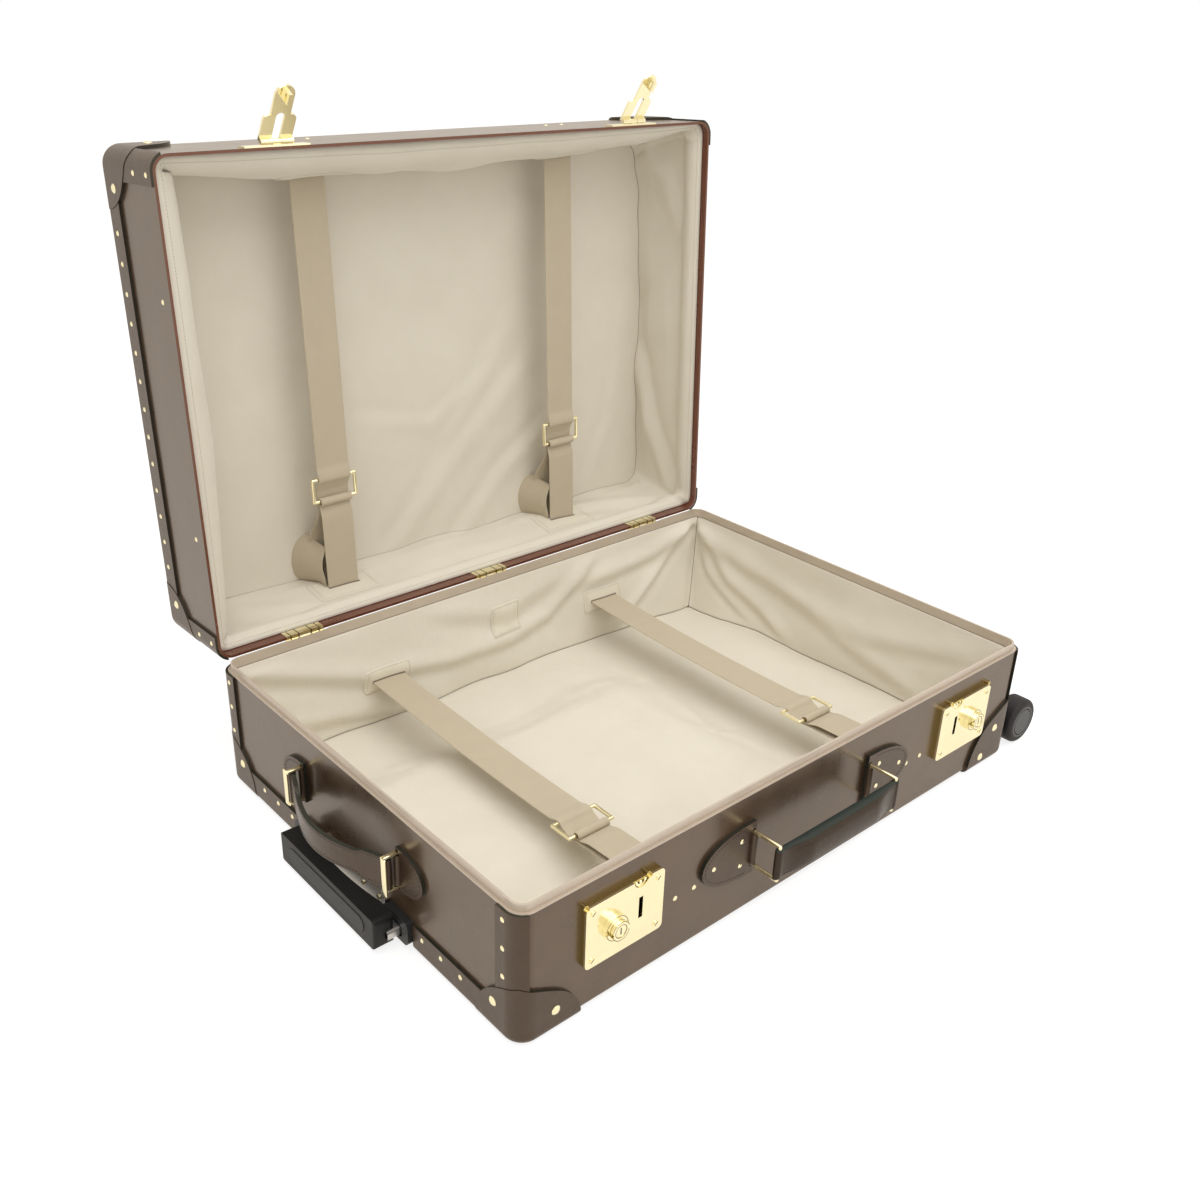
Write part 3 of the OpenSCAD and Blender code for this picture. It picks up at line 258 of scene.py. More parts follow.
def hide(name, on_lid=False, edge_of=None, tone=1.0):
    """Waxed hide: fine pores, shallow wrinkles and a soft shine. edge_of is the leather's thickness on the shell; what
    lies deeper than its face, away from the rounded bottom edge, is the painted cut edge."""
    leather = finish_of(
        name, Roughness=0.36, Specular_IOR_Level=0.6, Specular_Tint=VARNISH, Coat_Weight=0.12, Coat_Roughness=0.22
    )
    where = object_mm(leather, on_lid)
    pores = node(leather, "TexVoronoi", {"Vector": where, "Scale": 0.9}, feature="DISTANCE_TO_EDGE").outputs[0]
    grain, cloud = mottle(leather, where, 1.4, 3.0), mottle(leather, where, 0.06, 3.0)
    shade(leather, "Base Color", blend_of(leather, cloud, toned(HIDE_DEEP, tone), toned(HIDE, 1.15 * tone)))
    if edge_of is not None:
        bend = (LID_BEND_Z, LID_BEND_Z - 0.5) if on_lid else (BASE_BEND_Z, BASE_BEND_Z + 0.5)
        off_bend = step_up(leather, xyz(leather, where)[2], *bend)
        cut = step_up(leather, depth_under_wall(leather, where), 0.25 - edge_of, 0.4 - edge_of)
        paint_over(leather, number(leather, "MULTIPLY", cut, off_bend), HIDE_EDGE)
    vary_roughness(leather, grain, 0.28, 0.44)
    relief(leather, (step_up(leather, pores, 0.0, 0.25), 0.05), (grain, 0.07), (cloud, 0.5))
    return leather


for half, on_lid in (("base", False), ("lid", True)):
    skin(f"{half}_corner_caps", hide(f"{half}_cap_hide", on_lid, CAP_T))
    skin(f"{half}_edge_strips", hide(f"{half}_strip_hide", on_lid, STRIP_T))
    skin(f"{half}_corner_strips", hide(f"{half}_upright_hide", on_lid, STRIP_T))

# ---- Rivets, screws, buckles, rings, hinges ----
# Solid brass, polished and lacquered: domed rivets through the leather, wire buckles and handle rings, folded hinge
# leaves on brass pins.

BRASS_SHADE = (0.16, 0.12, 0.04)
HINGE_X, HINGE_GAPS, RING_FULLER = 237.0, ((7.0, 0.7), (16.0, 0.6)), 0.45
BRASS, BRASS_DEEP = (0.96, 0.89, 0.60), (0.55, 0.43, 0.17)


def brass(name, shine=0.13, colour=BRASS):
    """Polished brass with faint polishing marks, a little duller in patches."""
    metal = finish_of(name, Metallic=1.0, Roughness=shine)
    where = object_mm(metal)
    patches = mottle(metal, where, 0.05, 4.0)
    shade(metal, "Base Color", blend_of(metal, step_up(metal, patches, 0.3, 0.75), colour, toned(colour, 0.95)))
    vary_roughness(metal, patches, shine * 0.8, shine * 1.3)
    relief(metal, (mottle(metal, where, 3.0, 2.0), 0.003))
    return metal


def off_from(material, value, middle):
    """How far a number is from the middle one."""
    return number(material, "ABSOLUTE", number(material, "SUBTRACT", value, middle))


def painted_shade_lines(metal, distance, lines):
    """Paints shade into brass as dark lines: painted shade in the gaps between the hinge's knuckles, and painted shade
    and dark reflections in the grooves of the knob's rings. Each line has the distance at which it lies, and the half
    widths between which it fades."""
    shaded = 0.0
    for at, start, end in lines:
        line = number(metal, "SUBTRACT", 1.0, step_up(metal, off_from(metal, distance, at), start, end))
        shaded = number(metal, "MAXIMUM", shaded, line)
    paint_over(metal, shaded, BRASS_SHADE)


def smooth(t):
    """0 below 0, 1 above 1, and 3 t^2 - 2 t^3 between them."""
    t = np.clip(t, 0, 1)
    return t * t * (3 - 2 * t)


def grid_faces(rows, columns, round_trip=False):
    """Quads between the neighbours of a grid, row by row; the last column joins the first where the grid goes round."""
    i, j = np.arange(rows - 1)[:, None], np.arange(columns if round_trip else columns - 1)[None, :]
    k = (j + 1) % columns
    return np.stack([i * columns + j, i * columns + k, (i + 1) * columns + k, (i + 1) * columns + j], -1).reshape(-1, 4)


def new_piece(name, points, faces, material, body, uv=None, seam=None):
    """A mesh from points in metres in the row frame, shaded smooth, that rides on its body; uv is in millimetres, and
    the mask given last is 1 where the cloth gets painted shade, at its sewn edges and slits."""
    mesh = bpy.data.meshes.new(name)
    mesh.from_pydata(np.asarray(points).reshape(-1, 3), [], [tuple(f) for f in np.asarray(faces, object).tolist()])
    mesh.polygons.foreach_set("use_smooth", np.ones(len(mesh.polygons), bool))
    if uv is not None:
        corner = np.zeros(len(mesh.loops), int)
        mesh.loops.foreach_get("vertex_index", corner)
        layer = mesh.uv_layers.new(name="flat")
        layer.data.foreach_set("uv", np.asarray(uv, float).reshape(-1, 2)[corner].ravel())
    if seam is not None:
        mesh.attributes.new("seam", "FLOAT", "POINT").data.foreach_set("value", np.asarray(seam, float).ravel())
    mesh.materials.append(material)
    piece = bpy.data.objects.new(name, mesh)
    bpy.context.scene.collection.objects.link(piece)
    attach(piece, body)
    return piece


def built(name, parts, place, material, body, woven=False, seam=None):
    """Several parts as one piece. Each has its points, faces and flat coordinates, which woven ones keep as uv."""
    starts = np.cumsum([0] + [len(points) for points, _, _ in parts])
    faces = [[i + int(start) for i in face] for start, (_, part, _) in zip(starts, parts) for face in part]
    points, flat = (np.concatenate([part[k] for part in parts]) for k in (0, 2))
    return new_piece(name, place(points), faces, material, body, flat if woven else None, seam)


def arc_lengths(path):
    """The way along a path up to each of its points."""
    return np.concatenate([[0], np.cumsum(np.linalg.norm(np.diff(path, axis=0), axis=1))])


def read_off(places, lengths, rows):
    """Rows of three numbers, read off in straight lines at places between the lengths."""
    return np.stack([np.interp(places, lengths, rows[:, k]) for k in range(3)], -1)


def unit(ways):
    """Directions, each divided by its length."""
    return ways / np.linalg.norm(ways, axis=1, keepdims=True)


def squarish(wave, power):
    """A sine or cosine raised to a power, with its sign kept: the sides of a superellipse."""
    return np.sign(wave) * np.abs(wave) ** power


def stitches(path, outward, pitch=3.4):
    """A row of stitches along a path of (x, y, z) points: rounded grains of thread 2.2 mm long and 0.7 mm thick, at
    equal steps, half sunk in the surface whose normal is outward."""
    path, outward = np.asarray(path, float), np.broadcast_to(np.asarray(outward, float), np.shape(path))
    lengths = arc_lengths(path)
    steps = np.arange(pitch / 2, lengths[-1], pitch)
    middle, up, ahead = (read_off(steps, lengths, rows) for rows in (path, outward, np.gradient(path, axis=0)))
    ahead, up = unit(ahead), unit(up)
    side = np.cross(ahead, up)
    turn = np.linspace(0, 2 * math.pi, 6, endpoint=False)
    long, thick = np.array([-1.1, -0.7, 0.7, 1.1])[:, None], np.array([0.12, 0.36, 0.36, 0.12])[:, None]
    grain = [(long + 0 * turn).ravel(), (thick * np.cos(turn)).ravel(), (thick * np.sin(turn)).ravel()]
    points = middle[:, None] + sum(g[None, :, None] * axis[:, None] for g, axis in zip(grain, (ahead, side, up)))
    one = grid_faces(4, 6, True).tolist() + [[5, 4, 3, 2, 1, 0], [18, 19, 20, 21, 22, 23]]
    faces = [[i + 24 * k for i in face] for k in range(len(steps)) for face in one]
    return points.reshape(-1, 3), faces, np.zeros((points.size // 3, 2))


def bar(start, end, wide, half_wide, half_deep, power=0.3):
    """A straight bar with rounded edges: its section is a superellipse, half_wide along the direction wide, and its
    ends are drawn in over the last millimetre."""
    start, end, wide = (np.asarray(v, float) for v in (start, end, wide))
    length = np.linalg.norm(end - start)
    ahead = (end - start) / length
    deep_way = np.cross(ahead, wide)
    along = np.array([0, 0.25, 0.9, length - 0.9, length - 0.25, length])[:, None]
    drawn_in = np.array([0.6, 0.88, 1, 1, 0.88, 0.6])[:, None]
    turn = np.linspace(0, 2 * math.pi, 24, endpoint=False)
    a, b = half_wide * drawn_in * squarish(np.cos(turn), power), half_deep * drawn_in * squarish(np.sin(turn), power)
    points = start + along[..., None] * ahead + a[..., None] * wide + b[..., None] * deep_way
    faces = grid_faces(6, 24, True).tolist() + [list(range(23, -1, -1)), list(range(120, 144))]
    return points.reshape(-1, 3), faces, np.zeros((144, 2))


polished_brass = brass("polished_brass")
for name in (
    "base_rivets base_cap_rivets lid_rivets lid_cap_rivets base_buckles lid_buckles handle_ring_left handle_ring_right "
    "hasp_seats hasp_pins"
).split():
    skin(name, polished_brass)
for name in ("handle_ring_left", "handle_ring_right"):
    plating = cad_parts[name].modifiers.new("full_wire", "DISPLACE")
    plating.strength, plating.mid_level = RING_FULLER / 1000, 0.0

hinge_brass = brass("hinge_brass")
hinge_along = number(hinge_brass, "ABSOLUTE", xyz(hinge_brass, object_mm(hinge_brass))[0])
hinge_off = number(hinge_brass, "MINIMUM", hinge_along, off_from(hinge_brass, hinge_along, HINGE_X))
# Painted shade in the gaps between the hinge's knuckles.
painted_shade_lines(hinge_brass, hinge_off, [(gap, half_wide - 0.2, half_wide + 0.2) for gap, half_wide in HINGE_GAPS])
for name in ("hinge_base_leaves", "hinge_pins", "hinge_lid_leaves"):
    skin(name, hinge_brass)

# ---- Locks ----
# Each lock is a bronze-coloured case under a thick polished brass plate, held by four slotted screws. Its knob turns a
# cam through the staple on the hasp, and the key turns the cylinder in the knob.

LOCK_X, LOCK_Z, LOCK_FRONT_Y, LOCK_W, LOCK_H = 229.5, 77.5, -240.0, 82.0, 60.0
SCREW_IN, SCREW_OUT, SLOT_TURN, SLOT_HALF, KEEPER_R = 7.0, 0.86, math.radians(40), 2.2, 5.0
KNOB_X, KNOB_Z, KNOB_RINGS = 242.1, 78.0, (11.0, 8.5, 5.9)

skin("lock_cases", brass("lock_case_brass", 0.22, BRASS_DEEP))
for name in "lock_plates screws hasp_left hasp_right".split():
    skin(name, polished_brass)


def broken_edges(piece_name, width):
    """Breaks a CAD node's sharp edges by a small bevel of that width in millimetres, which catches the light."""
    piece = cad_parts[piece_name]
    bevel = piece.modifiers.new("broken_edges", "BEVEL")
    bevel.width, bevel.segments, bevel.limit_method, bevel.angle_limit = width / 1000, 2, "ANGLE", math.radians(50)
    bevel.use_clamp_overlap = True
    piece.modifiers.move(len(piece.modifiers) - 1, 1)


broken_edges("lock_plates", 0.6)
for name in ("hasp_left", "hasp_right"):
    broken_edges(name, 0.35)

screw_places = [
    (side * LOCK_X + sx * (LOCK_W / 2 - SCREW_IN), LOCK_FRONT_Y - SCREW_OUT, LOCK_Z + sz * (LOCK_H / 2 - SCREW_IN))
    for side in (-1, 1)
    for sx in (-1, 1)
    for sz in (-1, 1)
]
# Painted shade: thin dark brass bars on the screw heads stand in for the shadow down in their slots.
slot_way = SLOT_HALF * np.array([math.cos(SLOT_TURN), 0, math.sin(SLOT_TURN)])
slot_shade_bars = [bar(place - slot_way, place + slot_way, (0, 1, 0), 0.12, 0.45) for place in np.array(screw_places)]
built("lock_screw_slot_shade", slot_shade_bars, placed, brass("slot_shade", 0.5, BRASS_SHADE), "base")

knob_brass = brass("knob_brass")
knob_way = xyz(knob_brass, object_mm(knob_brass))
knob_off = number(knob_brass, "SUBTRACT", number(knob_brass, "ABSOLUTE", knob_way[0]), KNOB_X)
knob_up = number(knob_brass, "SUBTRACT", knob_way[2], KNOB_Z)
squares = [number(knob_brass, "MULTIPLY", way, way) for way in (knob_off, knob_up)]
knob_out = number(knob_brass, "SQRT", number(knob_brass, "ADD", *squares))
# Painted shade and dark reflections at the knob's turned rings.
painted_shade_lines(knob_brass, knob_out, [(ring, 0.12, 0.5) for ring in KNOB_RINGS])
for name in "lock_knob_left lock_knob_right key_cylinder_left key_cylinder_right".split():
    skin(name, knob_brass)

keeper_parts = []
for side in (-1, 1):
    x, top = side * (LOCK_X - 16), LOCK_Z + LOCK_H / 2
    arch = np.linspace(math.pi, 2 * math.pi, 12)
    arch_x, arch_z = x + KEEPER_R * np.cos(arch), top - 1.0 + KEEPER_R * np.sin(arch)
    knots = np.stack([arch_x, 0 * arch + LOCK_FRONT_Y + 1.6, arch_z], -1)
    keeper_parts += [bar(p, q, (0, 1, 0), 1.2, 1.2, 1.0) for p, q in zip(knots, knots[1:])]
    tongue = [(x, LOCK_FRONT_Y + 1.8, top - under) for under in (9, 1.5)]
    keeper_parts.append(bar(*tongue, (0, 1, 0), 1.0, 1.4, 1.0))
built("lock_keepers", keeper_parts, placed, polished_brass, "base")

# ---- Rim lip ----
# A drawn metal strip, enamelled beige, that caps the base's cut rim and stands up inside the lid when the case is shut.

LIP_BEIGE = (0.56, 0.48, 0.395)
lip_enamel = finish_of("lip_enamel", Roughness=0.3, Metallic=0.35, Coat_Weight=0.3, Coat_Roughness=0.15)
lip_where = object_mm(lip_enamel)
lip_cloud = mottle(lip_enamel, lip_where, 0.05, 4.0)
shade(lip_enamel, "Base Color", blend_of(lip_enamel, lip_cloud, toned(LIP_BEIGE, 0.92), toned(LIP_BEIGE, 1.08)))
vary_roughness(lip_enamel, lip_cloud, 0.26, 0.4)
relief(lip_enamel, (mottle(lip_enamel, lip_where, 1.2, 2.0), 0.02), (lip_cloud, 0.3))
skin("rim_lip", lip_enamel)

# ---- Base lining ----
# Cream cotton drill. A floor panel lies loose over a pad that covers both trolley tubes, and a wall band is sewn to it
# all round. The band is tucked behind the rim lip and hangs slack, so it leans in towards the floor seam and creases.

CREAM, CREAM_SHADE, SEAM_SHADE = (0.745, 0.700, 0.600), (0.68, 0.63, 0.53), (0.20, 0.155, 0.11)
CLOTH_T = 0.8


def drill(name, cream=CREAM):
    """Cotton drill: a fine diagonal weave on the piece's UV map, which is in millimetres, under soft creases. Where the
    piece's mask attribute nears 1 the colour turns to painted shade, which stands in for the shadow in the gaps at its
    sewn edges, under the rim lip and in slits."""
    cloth = finish_of(name, Roughness=0.85, Sheen_Weight=0.25, Sheen_Roughness=0.45, Specular_IOR_Level=0.25)
    flat = node(cloth, "TexCoord").outputs["UV"]
    where = object_mm(cloth)
    twill = {"Vector": flat, "Scale": 0.55, "Distortion": 0.6, "Detail": 1.0}
    weave = node(cloth, "TexWave", twill, bands_direction="DIAGONAL").outputs["Fac"]
    slubs = node(cloth, "Mapping", {"Vector": flat, "Scale": (0.05, 1.2, 1)})
    thread = mottle(cloth, slubs.outputs["Vector"], 1.0, 3.0)
    tone = blend_of(cloth, mottle(cloth, where, 0.02, 3.0), CREAM_SHADE, cream)
    tone = blend_of(cloth, number(cloth, "MULTIPLY", step_up(cloth, thread, 0.55, 0.8), 0.25), tone, CREAM_SHADE)
    # Painted shade: the mask darkens the cloth along its sewn edges, under the rim lip and in slits, where those gaps
    # would be in shadow.
    seam = node(cloth, "Attribute", attribute_name="seam").outputs["Fac"]
    shade(cloth, "Base Color", blend_of(cloth, step_up(cloth, seam, 0.55, 1.0), tone, SEAM_SHADE))
    relief(cloth, (mottle(cloth, where, 0.06, 4.0, 0.5), 0.8), (thread, 0.05), (weave, 0.06))
    return cloth


cream_drill = drill("cream_drill")


def lining(name, points, body, flat, seam, closed=False):
    """A sheet of drill over a grid of points, with its thickness away from the side that shows. closed joins the grid's
    ends, and the lid's faces are turned round, as it lies upside down."""
    faces = grid_faces(*points.shape[:2], closed)[:, :: (1 if body == "base" else -1)]
    piece = new_piece(name, points, faces, cream_drill, body, flat, seam)
    solid = piece.modifiers.new("thickness", "SOLIDIFY")
    solid.thickness, solid.offset = CLOTH_T / 1000, -1
    return piece


def waves(u, v, length, seed):
    """Slow hills of about one unit: a sum of six plane waves, in directions a golden angle apart and with lengths from
    0.6 to 1.9 times the one given."""
    total = 0
    for k in range(6):
        angle, size = 2.4 * k + seed, length * (0.6 + 0.26 * k)
        total = total + np.sin((u * math.cos(angle) + v * math.sin(angle)) * 2 * math.pi / size + 1.7 * k * seed)
    return total / 3


def crease(u, v, path, width, height):
    """A fold along a line of points: a rounded ridge with a sharper valley under it, both fading with the distance
    from the line and past its ends. u, v and the path are in millimetres on the flat cloth."""
    nearest, side = np.full(np.shape(u), 1e9), np.zeros(np.shape(u))
    for (u0, v0), (u1, v1) in zip(path, path[1:]):
        du, dv = u1 - u0, v1 - v0
        length = math.hypot(du, dv)
        t = np.clip(((u - u0) * du + (v - v0) * dv) / length**2, 0, 1)
        gap = np.hypot(u - u0 - t * du, v - v0 - t * dv)
        across = ((v - v0) * du - (u - u0) * dv) / length * (1 if du > 0 else -1)
        side = np.where(gap < nearest, across, side)
        nearest = np.minimum(gap, nearest)
    fade = np.exp(-((nearest / (2.2 * width)) ** 2))
    ridge = np.exp(-(((side - 0.6 * width) / width) ** 2))
    ridge = ridge - 0.7 * np.exp(-(((side + 0.7 * width) / (0.7 * width)) ** 2))
    return height * fade * ridge


PAD_L, PAD_W, PAD_H, PAD_SLOPE = 58.0, 76.0, 16.5, 58.0


def floor_height(x, y):
    """Height of the floor panel: flat, with slow waves, and raised over the tubes by a pad whose edge rolls off over a
    few centimetres."""
    off_pad = np.hypot(np.maximum(x - PAD_L, 0), np.maximum(np.abs(y) - PAD_W, 0))
    pad = PAD_H * smooth(1 - off_pad / (PAD_SLOPE + 12 * waves(x, y, 150, 0.7)))
    folds = crease(x, y, [(122, -112), (100, -40), (112, 30), (128, 98)], 13, 1.5) + crease(
        x, y, [(-200, 118), (-80, 108), (60, 116), (128, 100)], 12, 1.2
    )
    return 12.2 + pad + 1.2 * waves(x, y, 140, 0.3) + 0.3 * waves(x, y, 48, 1.9) + folds


FLOOR_HALF_L, FLOOR_HALF_W, FLOOR_CORNER_R, FLOOR_COLUMNS, FLOOR_ROWS = 322.0, 226.0, 22.0, 221, 157


def rounded(x, y, half_l, half_w, radius):
    """A rectangle's grid with its corners rounded: past a corner's middle, the way out is shortened to the radius."""
    past_x, past_y = np.maximum(np.abs(x) - (half_l - radius), 0), np.maximum(np.abs(y) - (half_w - radius), 0)
    pull = np.minimum(1, radius / np.maximum(np.hypot(past_x, past_y), 1e-6))
    return (
        np.sign(x) * (np.minimum(np.abs(x), half_l - radius) + past_x * pull),
        np.sign(y) * (np.minimum(np.abs(y), half_w - radius) + past_y * pull),
    )


floor_u, floor_v = np.meshgrid(np.linspace(-1, 1, FLOOR_COLUMNS), np.linspace(-1, 1, FLOOR_ROWS))
floor_x, floor_y = rounded(FLOOR_HALF_L * floor_u, FLOOR_HALF_W * floor_v, FLOOR_HALF_L, FLOOR_HALF_W, FLOOR_CORNER_R)
floor_points = placed(np.stack([floor_x, floor_y, floor_height(floor_x, floor_y)], -1))
base_floor = lining("base_lining_floor", floor_points, "base", np.stack([floor_x, floor_y], -1), 0 * floor_x)

LONG_N, SHORT_N, CORNER_N = 170, 118, 10


def round_the_walls():
    """Once round a rectangle with rounded corners: for each point the factors of its corner's middle, and the
    direction out of the wall there. It starts at the front right corner and goes by the rear."""
    corners = np.array([[1, -1], [1, 1], [-1, 1], [-1, -1]], float)
    middles, outward = [], []
    for k in range(4):
        count = SHORT_N if k % 2 == 0 else LONG_N
        share = np.arange(count)[:, None] / count
        middles.append(corners[k] + (corners[(k + 1) % 4] - corners[k]) * share)
        outward.append(np.tile([math.cos(k * math.pi / 2), math.sin(k * math.pi / 2)], (len(share), 1)))
        turn = (k + np.arange(CORNER_N) / CORNER_N) * math.pi / 2
        middles.append(np.tile(corners[(k + 1) % 4], (CORNER_N, 1)))
        outward.append(np.stack([np.cos(turn), np.sin(turn)], -1))
    return np.concatenate(middles), np.concatenate(outward)


band_middle, band_out = round_the_walls()
right_share, rear_share, left_share, front_share = (
    np.clip(3 * sign * band_out[:, k] - 2, 0, 1) for sign, k in ((1, 0), (1, 1), (-1, 0), (-1, 1))
)
flat_wall = np.where(np.abs(band_out[:, 1]) > 0.7, band_middle[:, 0] * 312, band_middle[:, 1] * 216)


def wall_band(in_x, in_y, heights, corner_r, push):
    """A band of cloth round the walls. Row by row it has its distances in from the end and side walls, its height and
    its corner radius; push is added along the inward normal. Returns points, and the flat cloth's coordinates."""
    x = band_middle[:, 0] * (HALF_L - in_x - corner_r) + band_out[:, 0] * (corner_r - push)
    y = band_middle[:, 1] * (HALF_W - in_y - corner_r) + band_out[:, 1] * (corner_r - push)
    z = heights + np.zeros_like(x)
    step = np.hypot(*(np.diff(np.stack([x[0], y[0]]), axis=1, append=np.stack([x[0], y[0]])[:, :1])))
    along = np.concatenate([[0], np.cumsum(step)[:-1]]) + np.zeros_like(x)
    return np.stack([x, y, z], -1), np.stack([along, z], -1)


REAR_FOLDS = (
    ([(-300, 104), (-192, 66)], 14, 5.0),
    ([(-129, 57), (-77, 49), (15, 47), (75, 56), (121, 92)], 13, 5.5),
    ([(150, 84), (246, 88), (302, 112)], 12, 4.5),
    ([(206, 30), (250, 62), (296, 104)], 11, 6.0),
    ([(-265, 36), (-145, 14)], 13, 3.5),
    ([(-60, 98), (10, 78), (60, 90)], 15, 3.0),
)
RIGHT_FOLDS = (
    ([(88, 28), (160, 60), (214, 104)], 12, 5.5),
    ([(-106, 30), (30, 62), (206, 98)], 14, 4.5),
    ([(-150, 84), (-60, 64), (40, 70)], 15, 3.0),
    ([(150, 34), (196, 60), (214, 84)], 10, 4.0),
)
BAND_ROWS = 42
down = np.linspace(0, 1, BAND_ROWS)[:, None]
seam_wander = 1.8 * waves(band_middle[:, 0] * 310, band_middle[:, 1] * 214, 150, 0.5)
rear_in = np.interp(band_middle[:, 0], [-1, -0.72, -0.46, -0.26, 0.2, 0.62, 0.88, 1], [20, 18, 22, 18, 20, 24, 28, 30])
right_in = np.interp(band_middle[:, 1], [-1, -0.5, 0, 0.5, 0.66, 0.8, 1], [19, 19, 20, 21, 27, 34, 37])
seam_x = 19 + seam_wander + (right_in - 19) * (1 + band_middle[:, 0]) / 2
seam_y = 19 + seam_wander + (rear_in - 19) * (1 + band_middle[:, 1]) / 2
lean = 0.55 * down + 0.45 * down**3
band_z = 123.0 - 110.8 * down + 0 * seam_x
slack = 3.0 + 3.2 * waves(flat_wall, band_z, 190, 1.1) + 0.35 * waves(flat_wall, band_z, 60, 2.3)
slack = np.sin(math.pi * down) ** 0.8 * slack
for share, folds in ((rear_share, REAR_FOLDS), (right_share, RIGHT_FOLDS)):
    free = share * smooth(down * 8) * smooth((1 - down) * 12)
    for fold in folds:
        slack = slack + free * crease(flat_wall, band_z, *fold)
corner_column = SHORT_N + CORNER_N // 2
off_corner = np.abs(np.arange(len(band_out)) - corner_column)
slack = slack - smooth(down * 6) * 3.0 * np.exp(-((off_corner / 2.5) ** 2))
band_points, band_flat = wall_band(
    5.3 + (seam_x - 5.3) * lean, 5.3 + (seam_y - 5.3) * lean, band_z, 9.5 + 1.5 * down, slack
)
landed = floor_height(band_points[-1, :, 0], band_points[-1, :, 1])
band_points[..., 2] += smooth((down - 0.55) / 0.45) * (landed + 0.1 - band_points[-1, :, 2])
# Painted shade: the bottom row along the floor seam, the top row tucked under the rim lip and the column at the rear
# right corner are darkened, for the shadow in those gaps and in the corner's crease.
painted_shade_rows = np.maximum(down > 0.99, down < 0.02) + 0.0 * off_corner
painted_shade_rows[:, corner_column] = 1
base_band = lining("base_lining_wall", placed(band_points), "base", band_flat, painted_shade_rows, closed=True)
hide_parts("base_lining")

# ---- Lid lining ----
# The same drill, glued to the lid's walls a little inside the rim: a wall band that sags in a soft roll under the
# uppermost wall and bulges in at the left, and a back panel sewn to it.

LID_ROWS = 44
deep = np.linspace(0, 1, LID_ROWS)[:, None]
LID_HEM_Z, LID_BACK_Z = 134.3, 227.0
lid_wall_z = LID_HEM_Z + 5.0 * rear_share + (LID_BACK_Z - LID_HEM_Z - 5.0 * rear_share) * deep
lid_seam_in = 17.0 + 2.5 * waves(band_middle[:, 0] * 310, band_middle[:, 1] * 214, 120, 1.3)
seam_bend = 7 * smooth((-band_middle[:, 1] - 0.72) / 0.25) * (band_out[:, 0] > 0.5)
hem = 8.0 * np.sin(np.clip(deep / 0.26, 0, 1) * math.pi) ** 0.7
belly = np.sin(np.clip(deep / 0.97, 0, 1) ** 0.75 * math.pi) ** 0.85
sag_shape = np.interp(band_middle[:, 0], [-1, -0.8, -0.3, 0.4, 0.85, 1], [0.55, 0.8, 1.0, 0.85, 0.55, 0.25])
left_sag = np.interp(band_middle[:, 1], [-1, -0.6, 0.2, 0.8, 1], [26, 29, 30, 24, 20])
sag = front_share * sag_shape * (25 + 1.5 * waves(flat_wall, lid_wall_z, 130, 0.6)) + left_sag * left_share
lid_in = 3.3 + (lid_seam_in + seam_bend - 3.3) * (0.35 * deep + 0.65 * deep**2)
lid_in = lid_in + hem * (1 - 0.85 * front_share - 0.95 * left_share)
lid_slack = smooth((deep - 0.2) / 0.3) * smooth((1 - deep) / 0.25) * (
    2.5 + 3.0 * waves(flat_wall, lid_wall_z, 200, 0.9) + 0.4 * waves(flat_wall, lid_wall_z, 60, 2.9)
)
LID_RIGHT_FOLDS = (
    ([(-214, 200), (-180, 180), (-140, 166)], 13, 2.5),
    ([(60, 218), (130, 200), (215, 160)], 14, 5.0),
)
LID_HINGE_FOLDS = (([(-300, 205), (-230, 170)], 13, 4.0), ([(180, 200), (250, 180), (310, 150)], 13, 4.0))
for share, folds in ((right_share, LID_RIGHT_FOLDS), (rear_share, LID_HINGE_FOLDS)):
    for fold in folds:
        lid_slack = lid_slack + share * smooth(deep * 4) * crease(flat_wall, lid_wall_z, *fold)
lid_band_points, lid_band_flat = wall_band(lid_in, lid_in, lid_wall_z, 11 + 8 * deep, lid_slack + belly * sag)
LID_PANEL_FOLDS = (
    ([(-60, 200), (20, 120), (110, 40)], 16, 2.6),
    ([(30, 212), (90, 150), (150, 110)], 14, 2.8),
    ([(-20, 150), (40, 60), (90, -10)], 15, 1.6),
    ([(-70, 60), (-10, 72), (50, 40)], 12, 1.3),
    ([(230, 180), (262, 120), (270, 60)], 12, 1.5),
)


def panel_height(x, y):
    """Height of the lid's back panel: it lies against the board, lifted off it by slow hills and a few long diagonal
    creases low in the middle."""
    hills = 1.3 * waves(x, y, 190, 2.2) + 0.3 * waves(x, y, 60, 0.4)
    lifted = 2.2 + hills + sum(crease(x, y, *fold) for fold in LID_PANEL_FOLDS)
    return LID_BACK_Z - 1.1 - np.clip(lifted, 0.2, 8)


panel_x, panel_y = floor_x * 0.985, floor_y * 0.985
lid_panel_points = np.stack([panel_x, panel_y, panel_height(panel_x, panel_y)], -1)
panel_flat = np.stack([panel_x, panel_y], -1)
lid_panel = lining("lid_lining_panel", opened(lid_panel_points), "lid", panel_flat, 0 * panel_x)
lid_band_points[..., 2] += smooth((deep - 0.6) / 0.4) * (
    panel_height(lid_band_points[-1, :, 0], lid_band_points[-1, :, 1]) + 0.1 - lid_band_points[-1, :, 2]
)
# Painted shade: the bottom row, where the band meets the back panel, is darkened for the shadow in that seam.
lid_painted_shade_rows = (deep > 0.99) + 0.0 * off_corner
lid_band = lining("lid_lining_wall", opened(lid_band_points), "lid", lid_band_flat, lid_painted_shade_rows, closed=True)
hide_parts("lid_lining")
hem_row = lid_band_points[1] * 0.5 + lid_band_points[2] * 0.5
hem_in = np.stack([-band_out[:, 0], -band_out[:, 1], 0 * band_out[:, 0] - 0.6], -1)


